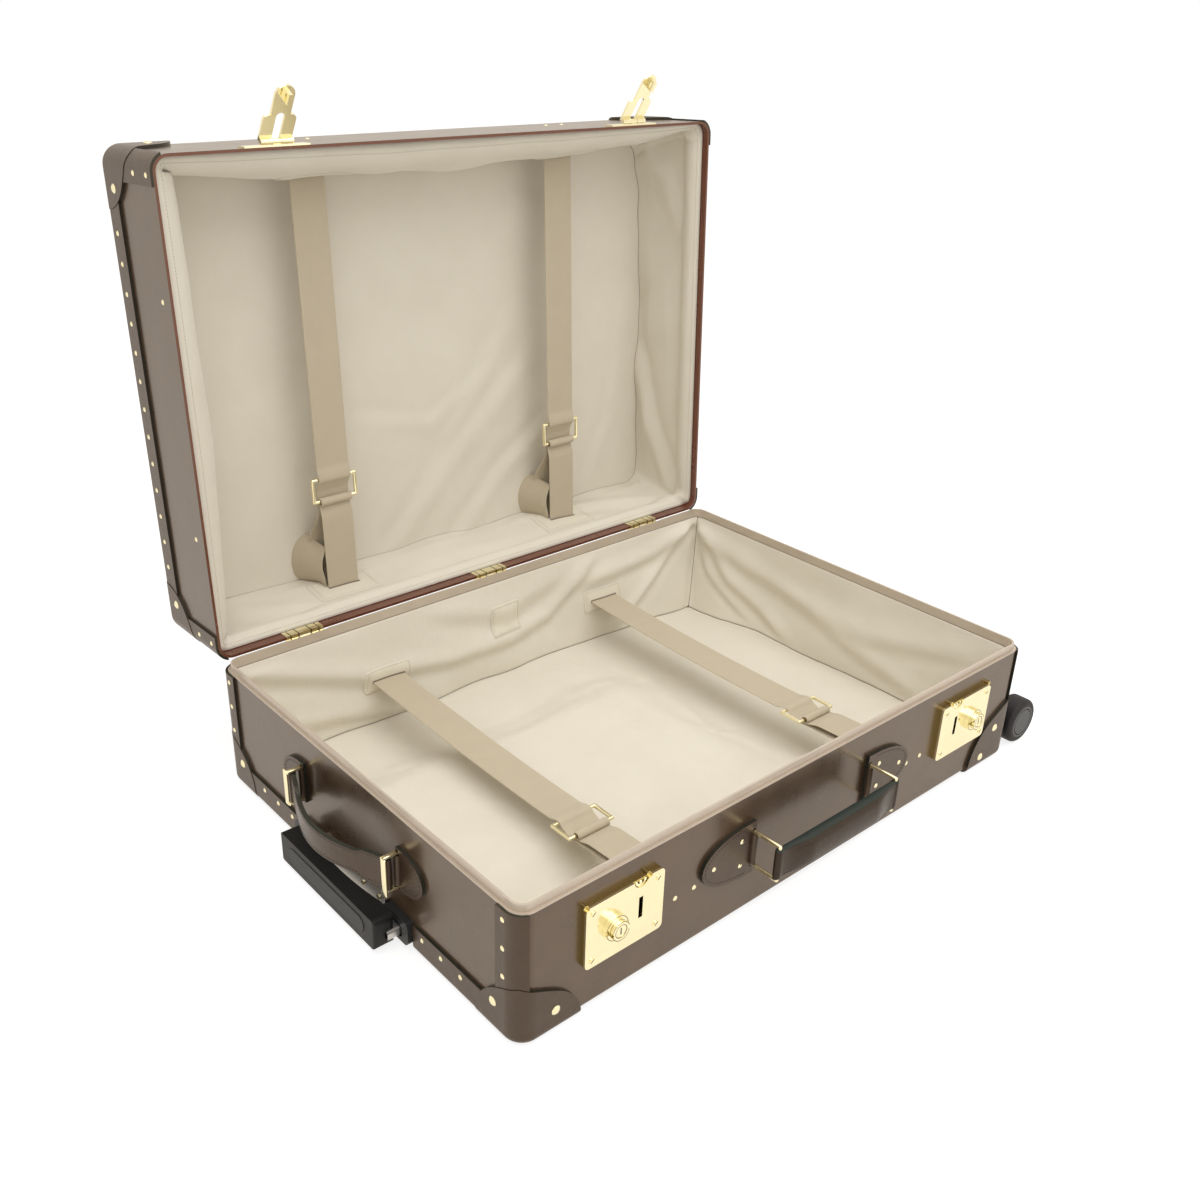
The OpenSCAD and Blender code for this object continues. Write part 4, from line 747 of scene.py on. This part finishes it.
def thread(name, dark, light, **plain):
    """Twisted thread with a fine grain."""
    yarn = finish_of(name, **plain)
    grain = mottle(yarn, object_mm(yarn), 2.0, 2.0)
    shade(yarn, "Base Color", blend_of(yarn, grain, dark, light))
    relief(yarn, (grain, 0.05))
    return yarn


cotton_thread = thread("cotton_thread", (0.50, 0.45, 0.36), (0.62, 0.57, 0.47), Roughness=0.8, Sheen_Weight=0.2)
built("lid_hem_stitches", [stitches(hem_row + 0.1 * hem_in, hem_in, 3.0)], opened, cotton_thread, "lid")

# ---- Packing straps ----
# Beige cotton webbing, 38 mm wide, out of slits in the linings. The short strap is looped round its wire buckle's near
# bar. The long one runs over the far bar and under the loop, and its tail hangs behind the short strap.

STRAP_X, STRAP_W, STRAP_T, STRAP_RUN = 155.0, 38.0, 1.8, 227.5
BUCKLE_WIRE_R, BUCKLE_HALF = 1.9, 12.0
BASE_BUCKLE_Y, LID_BUCKLE_Y, BASE_STRAP_Z, LID_STRAP_Z, STRAP_SAG = -103.0, 111.0, 60.5, 189.0, 7.0
WEBBING, WEBBING_DEEP = (0.585, 0.505, 0.375), (0.50, 0.43, 0.315)

webbing = finish_of("webbing", Roughness=0.7, Sheen_Weight=0.2, Sheen_Roughness=0.4, Specular_IOR_Level=0.3)
web_flat = node(webbing, "TexCoord").outputs["UV"]
ribs, warp = (
    node(
        webbing, "TexWave", {"Vector": web_flat, "Scale": scale, "Distortion": bent}, bands_direction=way
    ).outputs["Fac"]
    for scale, bent, way in ((0.35, 0.3, "Y"), (0.5, 0.2, "X"))
)
web_cloud = mottle(webbing, web_flat, 0.05, 3.0)
shade(webbing, "Base Color", blend_of(webbing, number(webbing, "MULTIPLY", ribs, web_cloud), WEBBING_DEEP, WEBBING))
relief(webbing, (warp, 0.06), (ribs, 0.1), (web_cloud, 0.3))


def ribbon(path, across, width, thickness=STRAP_T):
    """A flat band with rounded edges along a path of (x, y, z) points, 24 points round each section. across is the
    direction of its width at each point of the path. Returns points, faces and the flat band's coordinates."""
    path, across = np.asarray(path, float), np.broadcast_to(np.asarray(across, float), np.shape(path))
    lengths = arc_lengths(path)
    stations = np.linspace(0, lengths[-1], int(lengths[-1] / 2.0))
    middle, wide = read_off(stations, lengths, path), read_off(stations, lengths, across)
    ahead = unit(np.gradient(middle, axis=0))
    wide = unit(wide - ahead * (wide * ahead).sum(1, keepdims=True))
    upward = np.cross(wide, ahead)
    turn = np.linspace(0, 2 * math.pi, 24, endpoint=False)
    side, lift = width / 2 * squarish(np.cos(turn), 0.35), thickness / 2 * squarish(np.sin(turn), 0.6)
    points = middle[:, None] + wide[:, None] * side[:, None] + upward[:, None] * lift[:, None]
    faces = grid_faces(len(stations), 24, True).tolist()
    faces = [list(range(23, -1, -1))] + faces + [list(range((len(stations) - 1) * 24, len(stations) * 24))]
    flat = np.stack([side + 0 * stations[:, None], stations[:, None] + 0 * side], -1)
    return points.reshape(-1, 3), faces, flat.reshape(-1, 2)


def base_sag(y):
    """Height of a base strap's line: a parabola that hangs lowest in the middle."""
    return BASE_STRAP_Z - STRAP_SAG * (1 - (y / STRAP_RUN) ** 2)


OVER_BAR = BUCKLE_WIRE_R + 0.1 + STRAP_T / 2


def long_level(s):
    """How far the long strap stands off its line at s past the buckle's middle: up over the far bar, down through the
    window, and under the near bar and the short strap's loop."""
    rise = smooth((s + BUCKLE_HALF + 14) / 12) * (1 - smooth((s + BUCKLE_HALF - 1) / 5))
    return OVER_BAR * rise - (OVER_BAR + STRAP_T + 0.2) * smooth((s + BUCKLE_HALF - 2) / 14)


def short_path(toward):
    """Points (s from the buckle's middle, level) of the short strap: from its end on top, rolled back over and round
    the near bar, and away beneath to the slit, s millimetres past the buckle's middle."""
    turn = np.linspace(-0.09, 1.5, 40) * math.pi
    reach = OVER_BAR + 1.6 * (1 - smooth((turn + 0.28) / 3.4))
    roll = np.stack([BUCKLE_HALF + reach * np.cos(turn), reach * np.sin(turn)], -1)
    away = np.linspace(BUCKLE_HALF + 1, toward, 60)
    beneath = np.stack([away, 0.9 - (OVER_BAR + 0.9) * (1 - smooth((away - BUCKLE_HALF - 2) / 18))], -1)
    return np.concatenate([roll, beneath])


ACROSS, TAIL_STEPS = (1.0, 0.0, 0.0), 60
LID_TAIL = np.array(
    [(-1, 146, 198), (-4, 160, 203), (-8, 176, 206), (-10, 192, 207), (-11, 206, 207), (-15, 216, 207)]
    + [(-22, 219, 207), (-29, 212, 207), (-32, 199, 207), (-30, 186, 207), (-24, 176, 207), (-17, 172, 207)]
)


def eased(knots):
    """A path by the knots: read off at equal steps, and smoothed by a bell curve nine steps wide."""
    fine = read_off(np.linspace(0, len(knots) - 1, TAIL_STEPS), np.arange(len(knots)), knots)
    bell = np.hanning(9) / np.hanning(9).sum()
    return np.stack([np.convolve(np.pad(fine[:, k], 4, mode="edge"), bell, "valid") for k in range(3)], -1)


base_parts, base_short_parts, lid_parts, lid_short_parts = [], [], [], []
for x in (-STRAP_X, STRAP_X):
    run = np.linspace(STRAP_RUN, -190, 400)
    level = base_sag(run) + long_level(BASE_BUCKLE_Y - run)
    base_parts.append(ribbon(np.stack([x + 0 * run, run, level], -1), ACROSS, STRAP_W))
    s, level = short_path(STRAP_RUN + BASE_BUCKLE_Y).T
    y = BASE_BUCKLE_Y - s
    base_short_parts.append(ribbon(np.stack([x + 0 * y, y, base_sag(y) + level], -1), ACROSS, STRAP_W - 1))
    run = np.linspace(-219.3, LID_BUCKLE_Y + 26, 340)
    hanging = np.stack([x + 0 * run, run, LID_STRAP_Z - long_level(run - LID_BUCKLE_Y)], -1)
    twist = smooth(np.linspace(0, 2.2, TAIL_STEPS)) * math.radians(60)
    tail_wide = np.stack([np.cos(twist), 0 * twist, -np.sin(twist)], -1)
    wide = np.concatenate([np.tile(ACROSS, (len(hanging), 1)), tail_wide])
    lid_parts.append(ribbon(np.concatenate([hanging, eased(LID_TAIL + [x, 0, 0])]), wide, STRAP_W))
    s, level = short_path(228.8 - LID_BUCKLE_Y).T
    y = LID_BUCKLE_Y + s
    lid_short_parts.append(ribbon(np.stack([x + 0 * y, y, LID_STRAP_Z - level], -1), ACROSS, STRAP_W - 1))
for name, parts, place, body, replaced, flat in (
    ("base_strap_webbing", base_parts, placed, "base", "base_straps", (0.076, 0.435)),
    ("base_buckle_webbing", base_short_parts, placed, "base", "base_buckle_straps", (0.074, 0.165)),
    ("lid_strap_webbing", lid_parts, opened, "lid", "lid_straps", (0.076, 0.490)),
    ("lid_buckle_webbing", lid_short_parts, opened, "lid", "lid_buckle_straps", (0.074, 0.155)),
):
    piece = built(name, parts, place, webbing, body, woven=True)
    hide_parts(replaced)

# ---- Patches ----
# Small patches of cream cotton sewn over the straps' slits, and a bare label patch on the rear wall. Each lies on the
# slack cloth and is stitched round its border.

PATCH_T, PATCH_R, PATCH_COLUMNS, PATCH_ROWS, SLIT_L = 1.3, 5.0, 49, 29, 40
patch_cloth = drill("patch_cloth", (0.745, 0.695, 0.565))


def on_wall(points, sign, x, z):
    """The y of a wall's cloth at x and z: the mean of the band's points on that wall, weighted by a bell curve 3 mm
    wide. sign is 1 at the rear wall and -1 at the front one."""
    wall = points[:, band_out[:, 1] * sign > 0.99].reshape(-1, 3)
    wall = wall[(np.abs(wall[:, 0] - x.mean()) < 60) & (np.abs(wall[:, 2] - z.mean()) < 45)]
    weight = np.exp(-((wall[:, 0] - x[..., None]) ** 2 + (wall[:, 2] - z[..., None]) ** 2) / 18)
    return (weight * wall[:, 1]).sum(-1) / weight.sum(-1)


def patch(points, sign, x0, z0, width, height, slit=0.0):
    """A patch on a wall's cloth: a grid squeezed to a rectangle with rounded corners, standing its thickness off the
    cloth, and falling to it at the edge. Near the slit's line, within 2.8 mm, the returned mask rises to 1, for painted
    shade in the slit."""
    u, v = np.meshgrid(np.linspace(-1, 1, PATCH_COLUMNS), np.linspace(-1, 1, PATCH_ROWS))
    x, z = rounded(u * width / 2, v * height / 2, width / 2, height / 2, PATCH_R)
    edge = np.minimum(1 - np.abs(u), 1 - np.abs(v))
    stand = 0.3 + PATCH_T * smooth(edge / 0.05) - 0.6 * np.exp(-(((edge - 0.15) / 0.045) ** 2))
    y = on_wall(points, sign, x0 + x, z0 + z) - sign * stand
    # Painted shade along the slit, for the shadow in its opening where the strap comes out.
    cut = (np.abs(x) < slit / 2) * np.clip(2.8 - np.abs(z), 0, 1)
    faces = grid_faces(PATCH_ROWS, PATCH_COLUMNS)[:, :: (1 if sign > 0 else -1)].tolist()
    whole = np.stack([x0 + x, y, z0 + z], -1)
    ring = np.concatenate([whole[2, 3:-3], whole[2:-2, -4], whole[-3, -4:2:-1], whole[-3:1:-1, 3]])
    row = stitches(ring + [0, -0.15 * sign, 0], (0, -sign, 0), 3.2)
    return (whole.reshape(-1, 3), faces, np.stack([x, z], -1).reshape(-1, 2)), cut.ravel(), row


for body, wall, place, z, size, flat_size in (
    ("base", band_points, placed, BASE_STRAP_Z, (58, 28), (0.058, 0.148)),
    ("lid", lid_band_points, opened, LID_STRAP_Z - 3, (76, 36), (0.076, 0.144)),
):
    parts = [patch(wall, sign, x, z, *size, SLIT_L) for sign in (-1, 1) for x in (-STRAP_X, STRAP_X)]
    if body == "base":
        parts.append(patch(wall, 1, 7, 78.5, 42, 36))
    cloths, slit_shades, rows = zip(*parts)
    piece = built(
        f"{body}_patch_cloth", cloths, place, patch_cloth, body, woven=True, seam=np.concatenate(slit_shades)
    )
    built(f"{body}_patch_stitches", rows, place, cotton_thread, body)
    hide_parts(f"{body}_patches")

# ---- Front handle ----
# A padded grip of brown hide on two brass rings, its top and bottom edges painted black-green, with the rings' leather
# chapes riveted to the front.

RING_X, GRIP_Y, GRIP_Z, GRIP_H = 79.5, -266.0, 72.0, 30.0
GRIP_THIN, GRIP_SWELL, GRIP_BULGE, GRIP_BOW, GRIP_SEAM_UP = 3.0, 1.2, 4.4, 1.5, 12.0
CHAPE_L, CHAPE_H, CHAPE_T, STITCH_IN = 64.0, 54.0, 3.6, 3.6
GRIP_EDGE = (0.010, 0.022, 0.021)
grip_hide = hide("grip_hide", tone=0.55)
grip_hide.node_tree.nodes["Principled BSDF"].inputs["Specular IOR Level"].default_value = 0.32
grip_off = off_from(grip_hide, xyz(grip_hide, object_mm(grip_hide))[2], GRIP_Z)
paint_over(grip_hide, step_up(grip_hide, grip_off, 13.4, 13.8), GRIP_EDGE)


def fullness(x):
    """How full the grip is at x: 0 at the rings, and 1 from 38 mm inside them."""
    return smooth((RING_X - 4 - np.abs(x)) / 34)


grip_x = np.concatenate([-np.linspace(83.3, 75.7, 12), np.linspace(-75, 75, 90), np.linspace(75.7, 83.3, 12)])
barrel = np.sqrt(np.maximum(3.8**2 - (np.abs(grip_x) - RING_X) ** 2, 0.05))
swell = fullness(grip_x)[:, None]
inside_rings = (np.abs(grip_x) < RING_X)[:, None]
turn = np.linspace(0, 2 * math.pi, 56, endpoint=False)
face_out, edge_up = squarish(np.cos(turn), 0.30), squarish(np.sin(turn), 0.30)
plump = (1 - np.abs(edge_up) ** 3.0) * swell
half_t = GRIP_THIN + GRIP_SWELL * swell + np.where(face_out < 0, GRIP_BULGE, GRIP_BULGE / 2) * plump
half_t = np.where(inside_rings, half_t, 0)
grip_points = np.stack(
    [
        grip_x[:, None] + 0 * turn,
        GRIP_Y - GRIP_BOW * swell + np.maximum(half_t, barrel[:, None]) * face_out,
        GRIP_Z + GRIP_H / 2 * edge_up + 0 * grip_x[:, None],
    ],
    -1,
)
grip_faces = grid_faces(len(grip_x), 56, True).tolist()
grip_faces += [list(range(56))[::-1], list(range((len(grip_x) - 1) * 56, len(grip_x) * 56))]
grip_piece = new_piece("handle_grip_leather", placed(grip_points), grip_faces, grip_hide, "handle_grip")
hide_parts("handle_grip")
skin("handle_chapes", hide("chape_hide", edge_of=CHAPE_T))

dark_thread = thread("dark_thread", (0.018, 0.013, 0.009), (0.045, 0.033, 0.022), Roughness=0.55)
seam_x = np.linspace(-74, 74, 100)
seam_swell = fullness(seam_x)
seam_lift = GRIP_THIN + GRIP_SWELL * seam_swell + GRIP_BULGE * seam_swell * (1 - (GRIP_SEAM_UP / (GRIP_H / 2)) ** 3.0)
seam_front = GRIP_Y - GRIP_BOW * seam_swell - 0.97 * seam_lift
rows = [
    stitches(np.stack([seam_x, seam_front, GRIP_Z + sign * GRIP_SEAM_UP + 0 * seam_x], -1), (0, -1, 0))
    for sign in (-1, 1)
]
built("handle_grip_stitches", rows, placed, dark_thread, "handle_grip")

SIDE_Z, SIDE_RING_Y, SIDE_CHAPE_L, SIDE_CHAPE_H = 77.0, 78.0, 38.0, 42.0


def chape_border(length, height):
    """Distances along and up from the ring's bar of a chape's stitched border: a half oval inside its outline."""
    a = np.radians(np.linspace(-84, 84, 60))
    return (length - STITCH_IN) * np.cos(a) ** 0.8 - 2.5, (height / 2 - STITCH_IN) * np.sin(a)


along, up = chape_border(CHAPE_L, CHAPE_H)
rows = [
    stitches(np.stack([sign * (RING_X + along), 0 * up - HALF_W - CHAPE_T, GRIP_Z + up], -1), (0, -1, 0))
    for sign in (-1, 1)
]
along, up = chape_border(SIDE_CHAPE_L, SIDE_CHAPE_H)
rows += [
    stitches(np.stack([0 * up - HALF_L - CHAPE_T, sign * (SIDE_RING_Y + along), SIDE_Z + up], -1), (-1, 0, 0))
    for sign in (-1, 1)
]
built("chape_stitches", rows, placed, dark_thread, "base")

# ---- Side handle ----
# A strap of two layers of hide, bowed out between two rings, wider at its lobed ends. Each ring is a brass frame whose
# outer bar is a flat plate over the strap's end.

SIDE_BAR_X, SIDE_END_X, SIDE_BOW, SIDE_STRAP_T, RING_H = -334.0, -343.0, 22.0, 4.4, 34.0
PAINTED_INNER_SHADE = (0.012, 0.008, 0.005)

skin("side_chapes", hide("side_chape_hide", edge_of=CHAPE_T))
side_hide = hide("side_strap_hide", tone=0.8)
# Painted shade: the strap's inner face, turned towards the wall, is darkened for the wall's shadow and dark reflection
# on it.
side_turned = xyz(side_hide, node(side_hide, "NewGeometry").outputs["Normal"])[0]
paint_over(side_hide, step_up(side_hide, side_turned, 0.15, 0.4), PAINTED_INNER_SHADE)
side_way = xyz(side_hide, object_mm(side_hide))
side_along = number(side_hide, "ABSOLUTE", side_way[1])
side_waist = number(side_hide, "SUBTRACT", 1.0, step_up(side_hide, side_along, 48, 56))
side_off = off_from(side_hide, side_way[2], SIDE_Z)
side_off = number(side_hide, "ADD", side_off, number(side_hide, "MULTIPLY", side_waist, 3.5))
paint_over(side_hide, step_up(side_hide, side_off, 14.4, 14.8), HIDE_EDGE)
skin("side_handle_strap", side_hide)
seam_y = np.linspace(-72, 72, 120)
seam_off = (30 - 7 * smooth((56 - np.abs(seam_y)) / 8)) / 2 - 2.2
seam_bow = SIDE_END_X - SIDE_BOW * np.cos(math.pi / 2 * seam_y / SIDE_RING_Y) ** 1.2 - SIDE_STRAP_T / 2
seam_face = np.stack([0 * seam_y - 1, np.gradient(seam_bow, seam_y), 0 * seam_y], -1)
rows = [stitches(np.stack([seam_bow, seam_y, SIDE_Z + sign * seam_off], -1), seam_face) for sign in (-1, 1)]
built("side_strap_stitches", rows, placed, dark_thread, "side_handle_strap")

for end, sign in (("front", -1), ("rear", 1)):
    y, plate_x, plate_y = sign * SIDE_RING_Y, SIDE_END_X - 5.2, sign * (SIDE_RING_Y + 2.6)
    plate = [(plate_x, plate_y, SIDE_Z + up * (RING_H / 2 + 1.6)) for up in (-1, 1)]
    inner = [(SIDE_BAR_X, y, SIDE_Z + up * RING_H / 2) for up in (-1, 1)]
    parts = [bar(*plate, (0, 1, 0), 3.2, 1.0), bar(*inner, (0, 1, 0), 1.5, 1.5, 1.0)]
    for up in (-1, 1):
        level = SIDE_Z + up * RING_H / 2
        parts.append(bar((SIDE_BAR_X + 1.4, y, level), (plate_x - 0.6, y, level), (0, 1, 0), 2.2, 1.5, 0.45))
    ring = built(f"side_ring_{end}_frame", parts, placed, polished_brass, f"side_ring_{end}")
    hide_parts(f"side_ring_{end}")

# ---- Trolley ----
# Aluminium tubes that slide in each other under the floor pad, a brushed steel end plate, black bezels, and a moulded
# black grip with a release bar.


def brushed(name, rough, stretch, dark, light):
    """Metal brushed one way: noise drawn out along the axis whose stretch is small."""
    metal = finish_of(name, Metallic=1.0, Roughness=rough)
    lines = node(metal, "Mapping", {"Vector": object_mm(metal), "Scale": stretch}).outputs["Vector"]
    brush = mottle(metal, lines, 1.0, 4.0)
    shade(metal, "Base Color", blend_of(metal, brush, dark, light))
    relief(metal, (brush, 0.02))
    return metal


tube_metal = brushed("tube_metal", 0.32, (0.01, 2.0, 2.0), (0.56, 0.56, 0.56), (0.7, 0.7, 0.7))
for name in "trolley_outer_tubes trolley_middle_tubes trolley_inner_tubes trolley_foot_bracket wheel_axles".split():
    skin(name, tube_metal)
skin("trolley_end_plate", brushed("end_steel", 0.3, (2.0, 0.02, 2.0), (0.48, 0.46, 0.44), (0.62, 0.60, 0.57)))


def moulded(name, colour, rough, texture_mm=0.02):
    """Moulded plastic or rubber with a fine spark-eroded skin."""
    plastic = finish_of(name, Roughness=rough, Specular_IOR_Level=0.35)
    where = object_mm(plastic)
    fine, cloud = mottle(plastic, where, 2.2, 2.0), mottle(plastic, where, 0.08, 3.0)
    shade(plastic, "Base Color", blend_of(plastic, cloud, toned(colour, 0.85), toned(colour, 1.15)))
    vary_roughness(plastic, cloud, rough - 0.07, rough + 0.07)
    relief(plastic, (fine, texture_mm))
    return plastic


skin("trolley_bezels", moulded("bezel_black", (0.02, 0.02, 0.022), 0.4))
skin("trolley_grip", moulded("grip_black", (0.005, 0.005, 0.0055), 0.46, 0.03))
skin("trolley_release_bar", moulded("release_grey", (0.045, 0.045, 0.046), 0.55))

# ---- Wheels ----
# Two wheels on black brackets at the right end: a grey hub and a soft black tyre on a steel axle.

skin("wheel_brackets", moulded("bracket_black", (0.025, 0.025, 0.027), 0.45))
wheel_grey = moulded("hub_grey", (0.085, 0.085, 0.088), 0.5)
wheel_black = moulded("tyre_black", (0.018, 0.016, 0.017), 0.6, 0.05)
for end in ("front", "rear"):
    skin(f"wheel_hub_{end}", wheel_grey)
    skin(f"wheel_tyre_{end}", wheel_black)

# ---- Stage ----
# A white studio floor that keeps the case's soft shadow, broad soft lamps above, at the left and in front, and the
# camera.

WARM_WHITE = (1.0, 0.93, 0.83)

floor_mesh = bpy.data.meshes.new("studio_floor")
floor_mesh.from_pydata([(-6, -6, 0), (6, -6, 0), (6, 6, 0), (-6, 6, 0)], [], [(0, 1, 2, 3)])
studio_floor = bpy.data.objects.new("studio_floor", floor_mesh)
bpy.context.scene.collection.objects.link(studio_floor)
paper = bpy.data.materials.new("paper")
paper.use_nodes = True
paper.node_tree.nodes.clear()
lit = node(paper, "BsdfDiffuse", {"Color": (0.8, 0.8, 0.8, 1)})
ray = node(paper, "LightPath").outputs
tint = blend_of(paper, ray["Is Camera Ray"], WARM_WHITE, (1, 1, 1))
strength = number(paper, "MULTIPLY_ADD", ray["Is Camera Ray"], 0.1, 1.25)
glow = node(paper, "Emission", {"Color": tint, "Strength": strength})
mirrored = number(paper, "MAXIMUM", ray["Is Glossy Ray"], ray["Is Transmission Ray"])
seen = number(paper, "MAXIMUM", ray["Is Camera Ray"], mirrored)
mixed = node(paper, "MixShader", {0: number(paper, "MULTIPLY", seen, 0.6), 1: lit.outputs[0], 2: glow.outputs[0]})
node(paper, "OutputMaterial", {"Surface": mixed.outputs[0]})
floor_mesh.materials.append(paper)

world = bpy.data.worlds.new("studio")
world.use_nodes = True
world.node_tree.nodes.clear()
ray = node(world, "LightPath").outputs
lighting, mirrored, backdrop = (
    node(world, "Background", {"Color": (*colour, 1), "Strength": strength}).outputs[0]
    for colour, strength in (((1.0, 0.965, 0.905), 0.71), (WARM_WHITE, 1.0), ((1, 1, 1), 1.0))
)
either = node(world, "MixShader", {0: ray["Is Glossy Ray"], 1: lighting, 2: mirrored}).outputs[0]
pick = node(world, "MixShader", {0: ray["Is Camera Ray"], 1: either, 2: backdrop}).outputs[0]
node(world, "OutputWorld", {"Surface": pick})
bpy.context.scene.world = world


def lamp(name, where, aim, size, watts, colour=(1, 1, 1)):
    """A square area lamp, size metres wide, turned towards the point it is aimed at."""
    light = bpy.data.lights.new(name, "AREA")
    light.shape, light.size, light.energy, light.color = "SQUARE", size, watts, colour
    made = bpy.data.objects.new(name, light)
    bpy.context.scene.collection.objects.link(made)
    made.location = where
    direction = np.array(aim, float) - np.array(where, float)
    flat = math.hypot(direction[0], direction[1])
    made.rotation_euler = (math.atan2(flat, -direction[2]), 0, math.atan2(-direction[0], direction[1]))
    return made


lamp("lamp_above", (-0.1, -0.5, 2.4), (0, 0, 0.1), 3.0, 46)
lamp("lamp_left", (-2.4, 0.3, 1.3), (0, 0, 0.25), 1.8, 1.5)
lamp("lamp_front", (0.7, -2.2, 1.2), (0, 0.2, 0.4), 2.0, 4)

eye = bpy.data.cameras.new("eye")
eye.lens, eye.sensor_width = 36.70, 36.0
eye.shift_x, eye.shift_y = 0.01975, -0.0103
camera = bpy.data.objects.new("camera", eye)
bpy.context.scene.collection.objects.link(camera)
camera.location = (-0.7629, -0.818032, 0.7228)
camera.rotation_euler = Euler((math.radians(64.17529), math.radians(-1.33085), math.radians(-40.50174)), "XYZ")
bpy.context.scene.camera = camera
bpy.context.scene.view_settings.view_transform = "Standard"
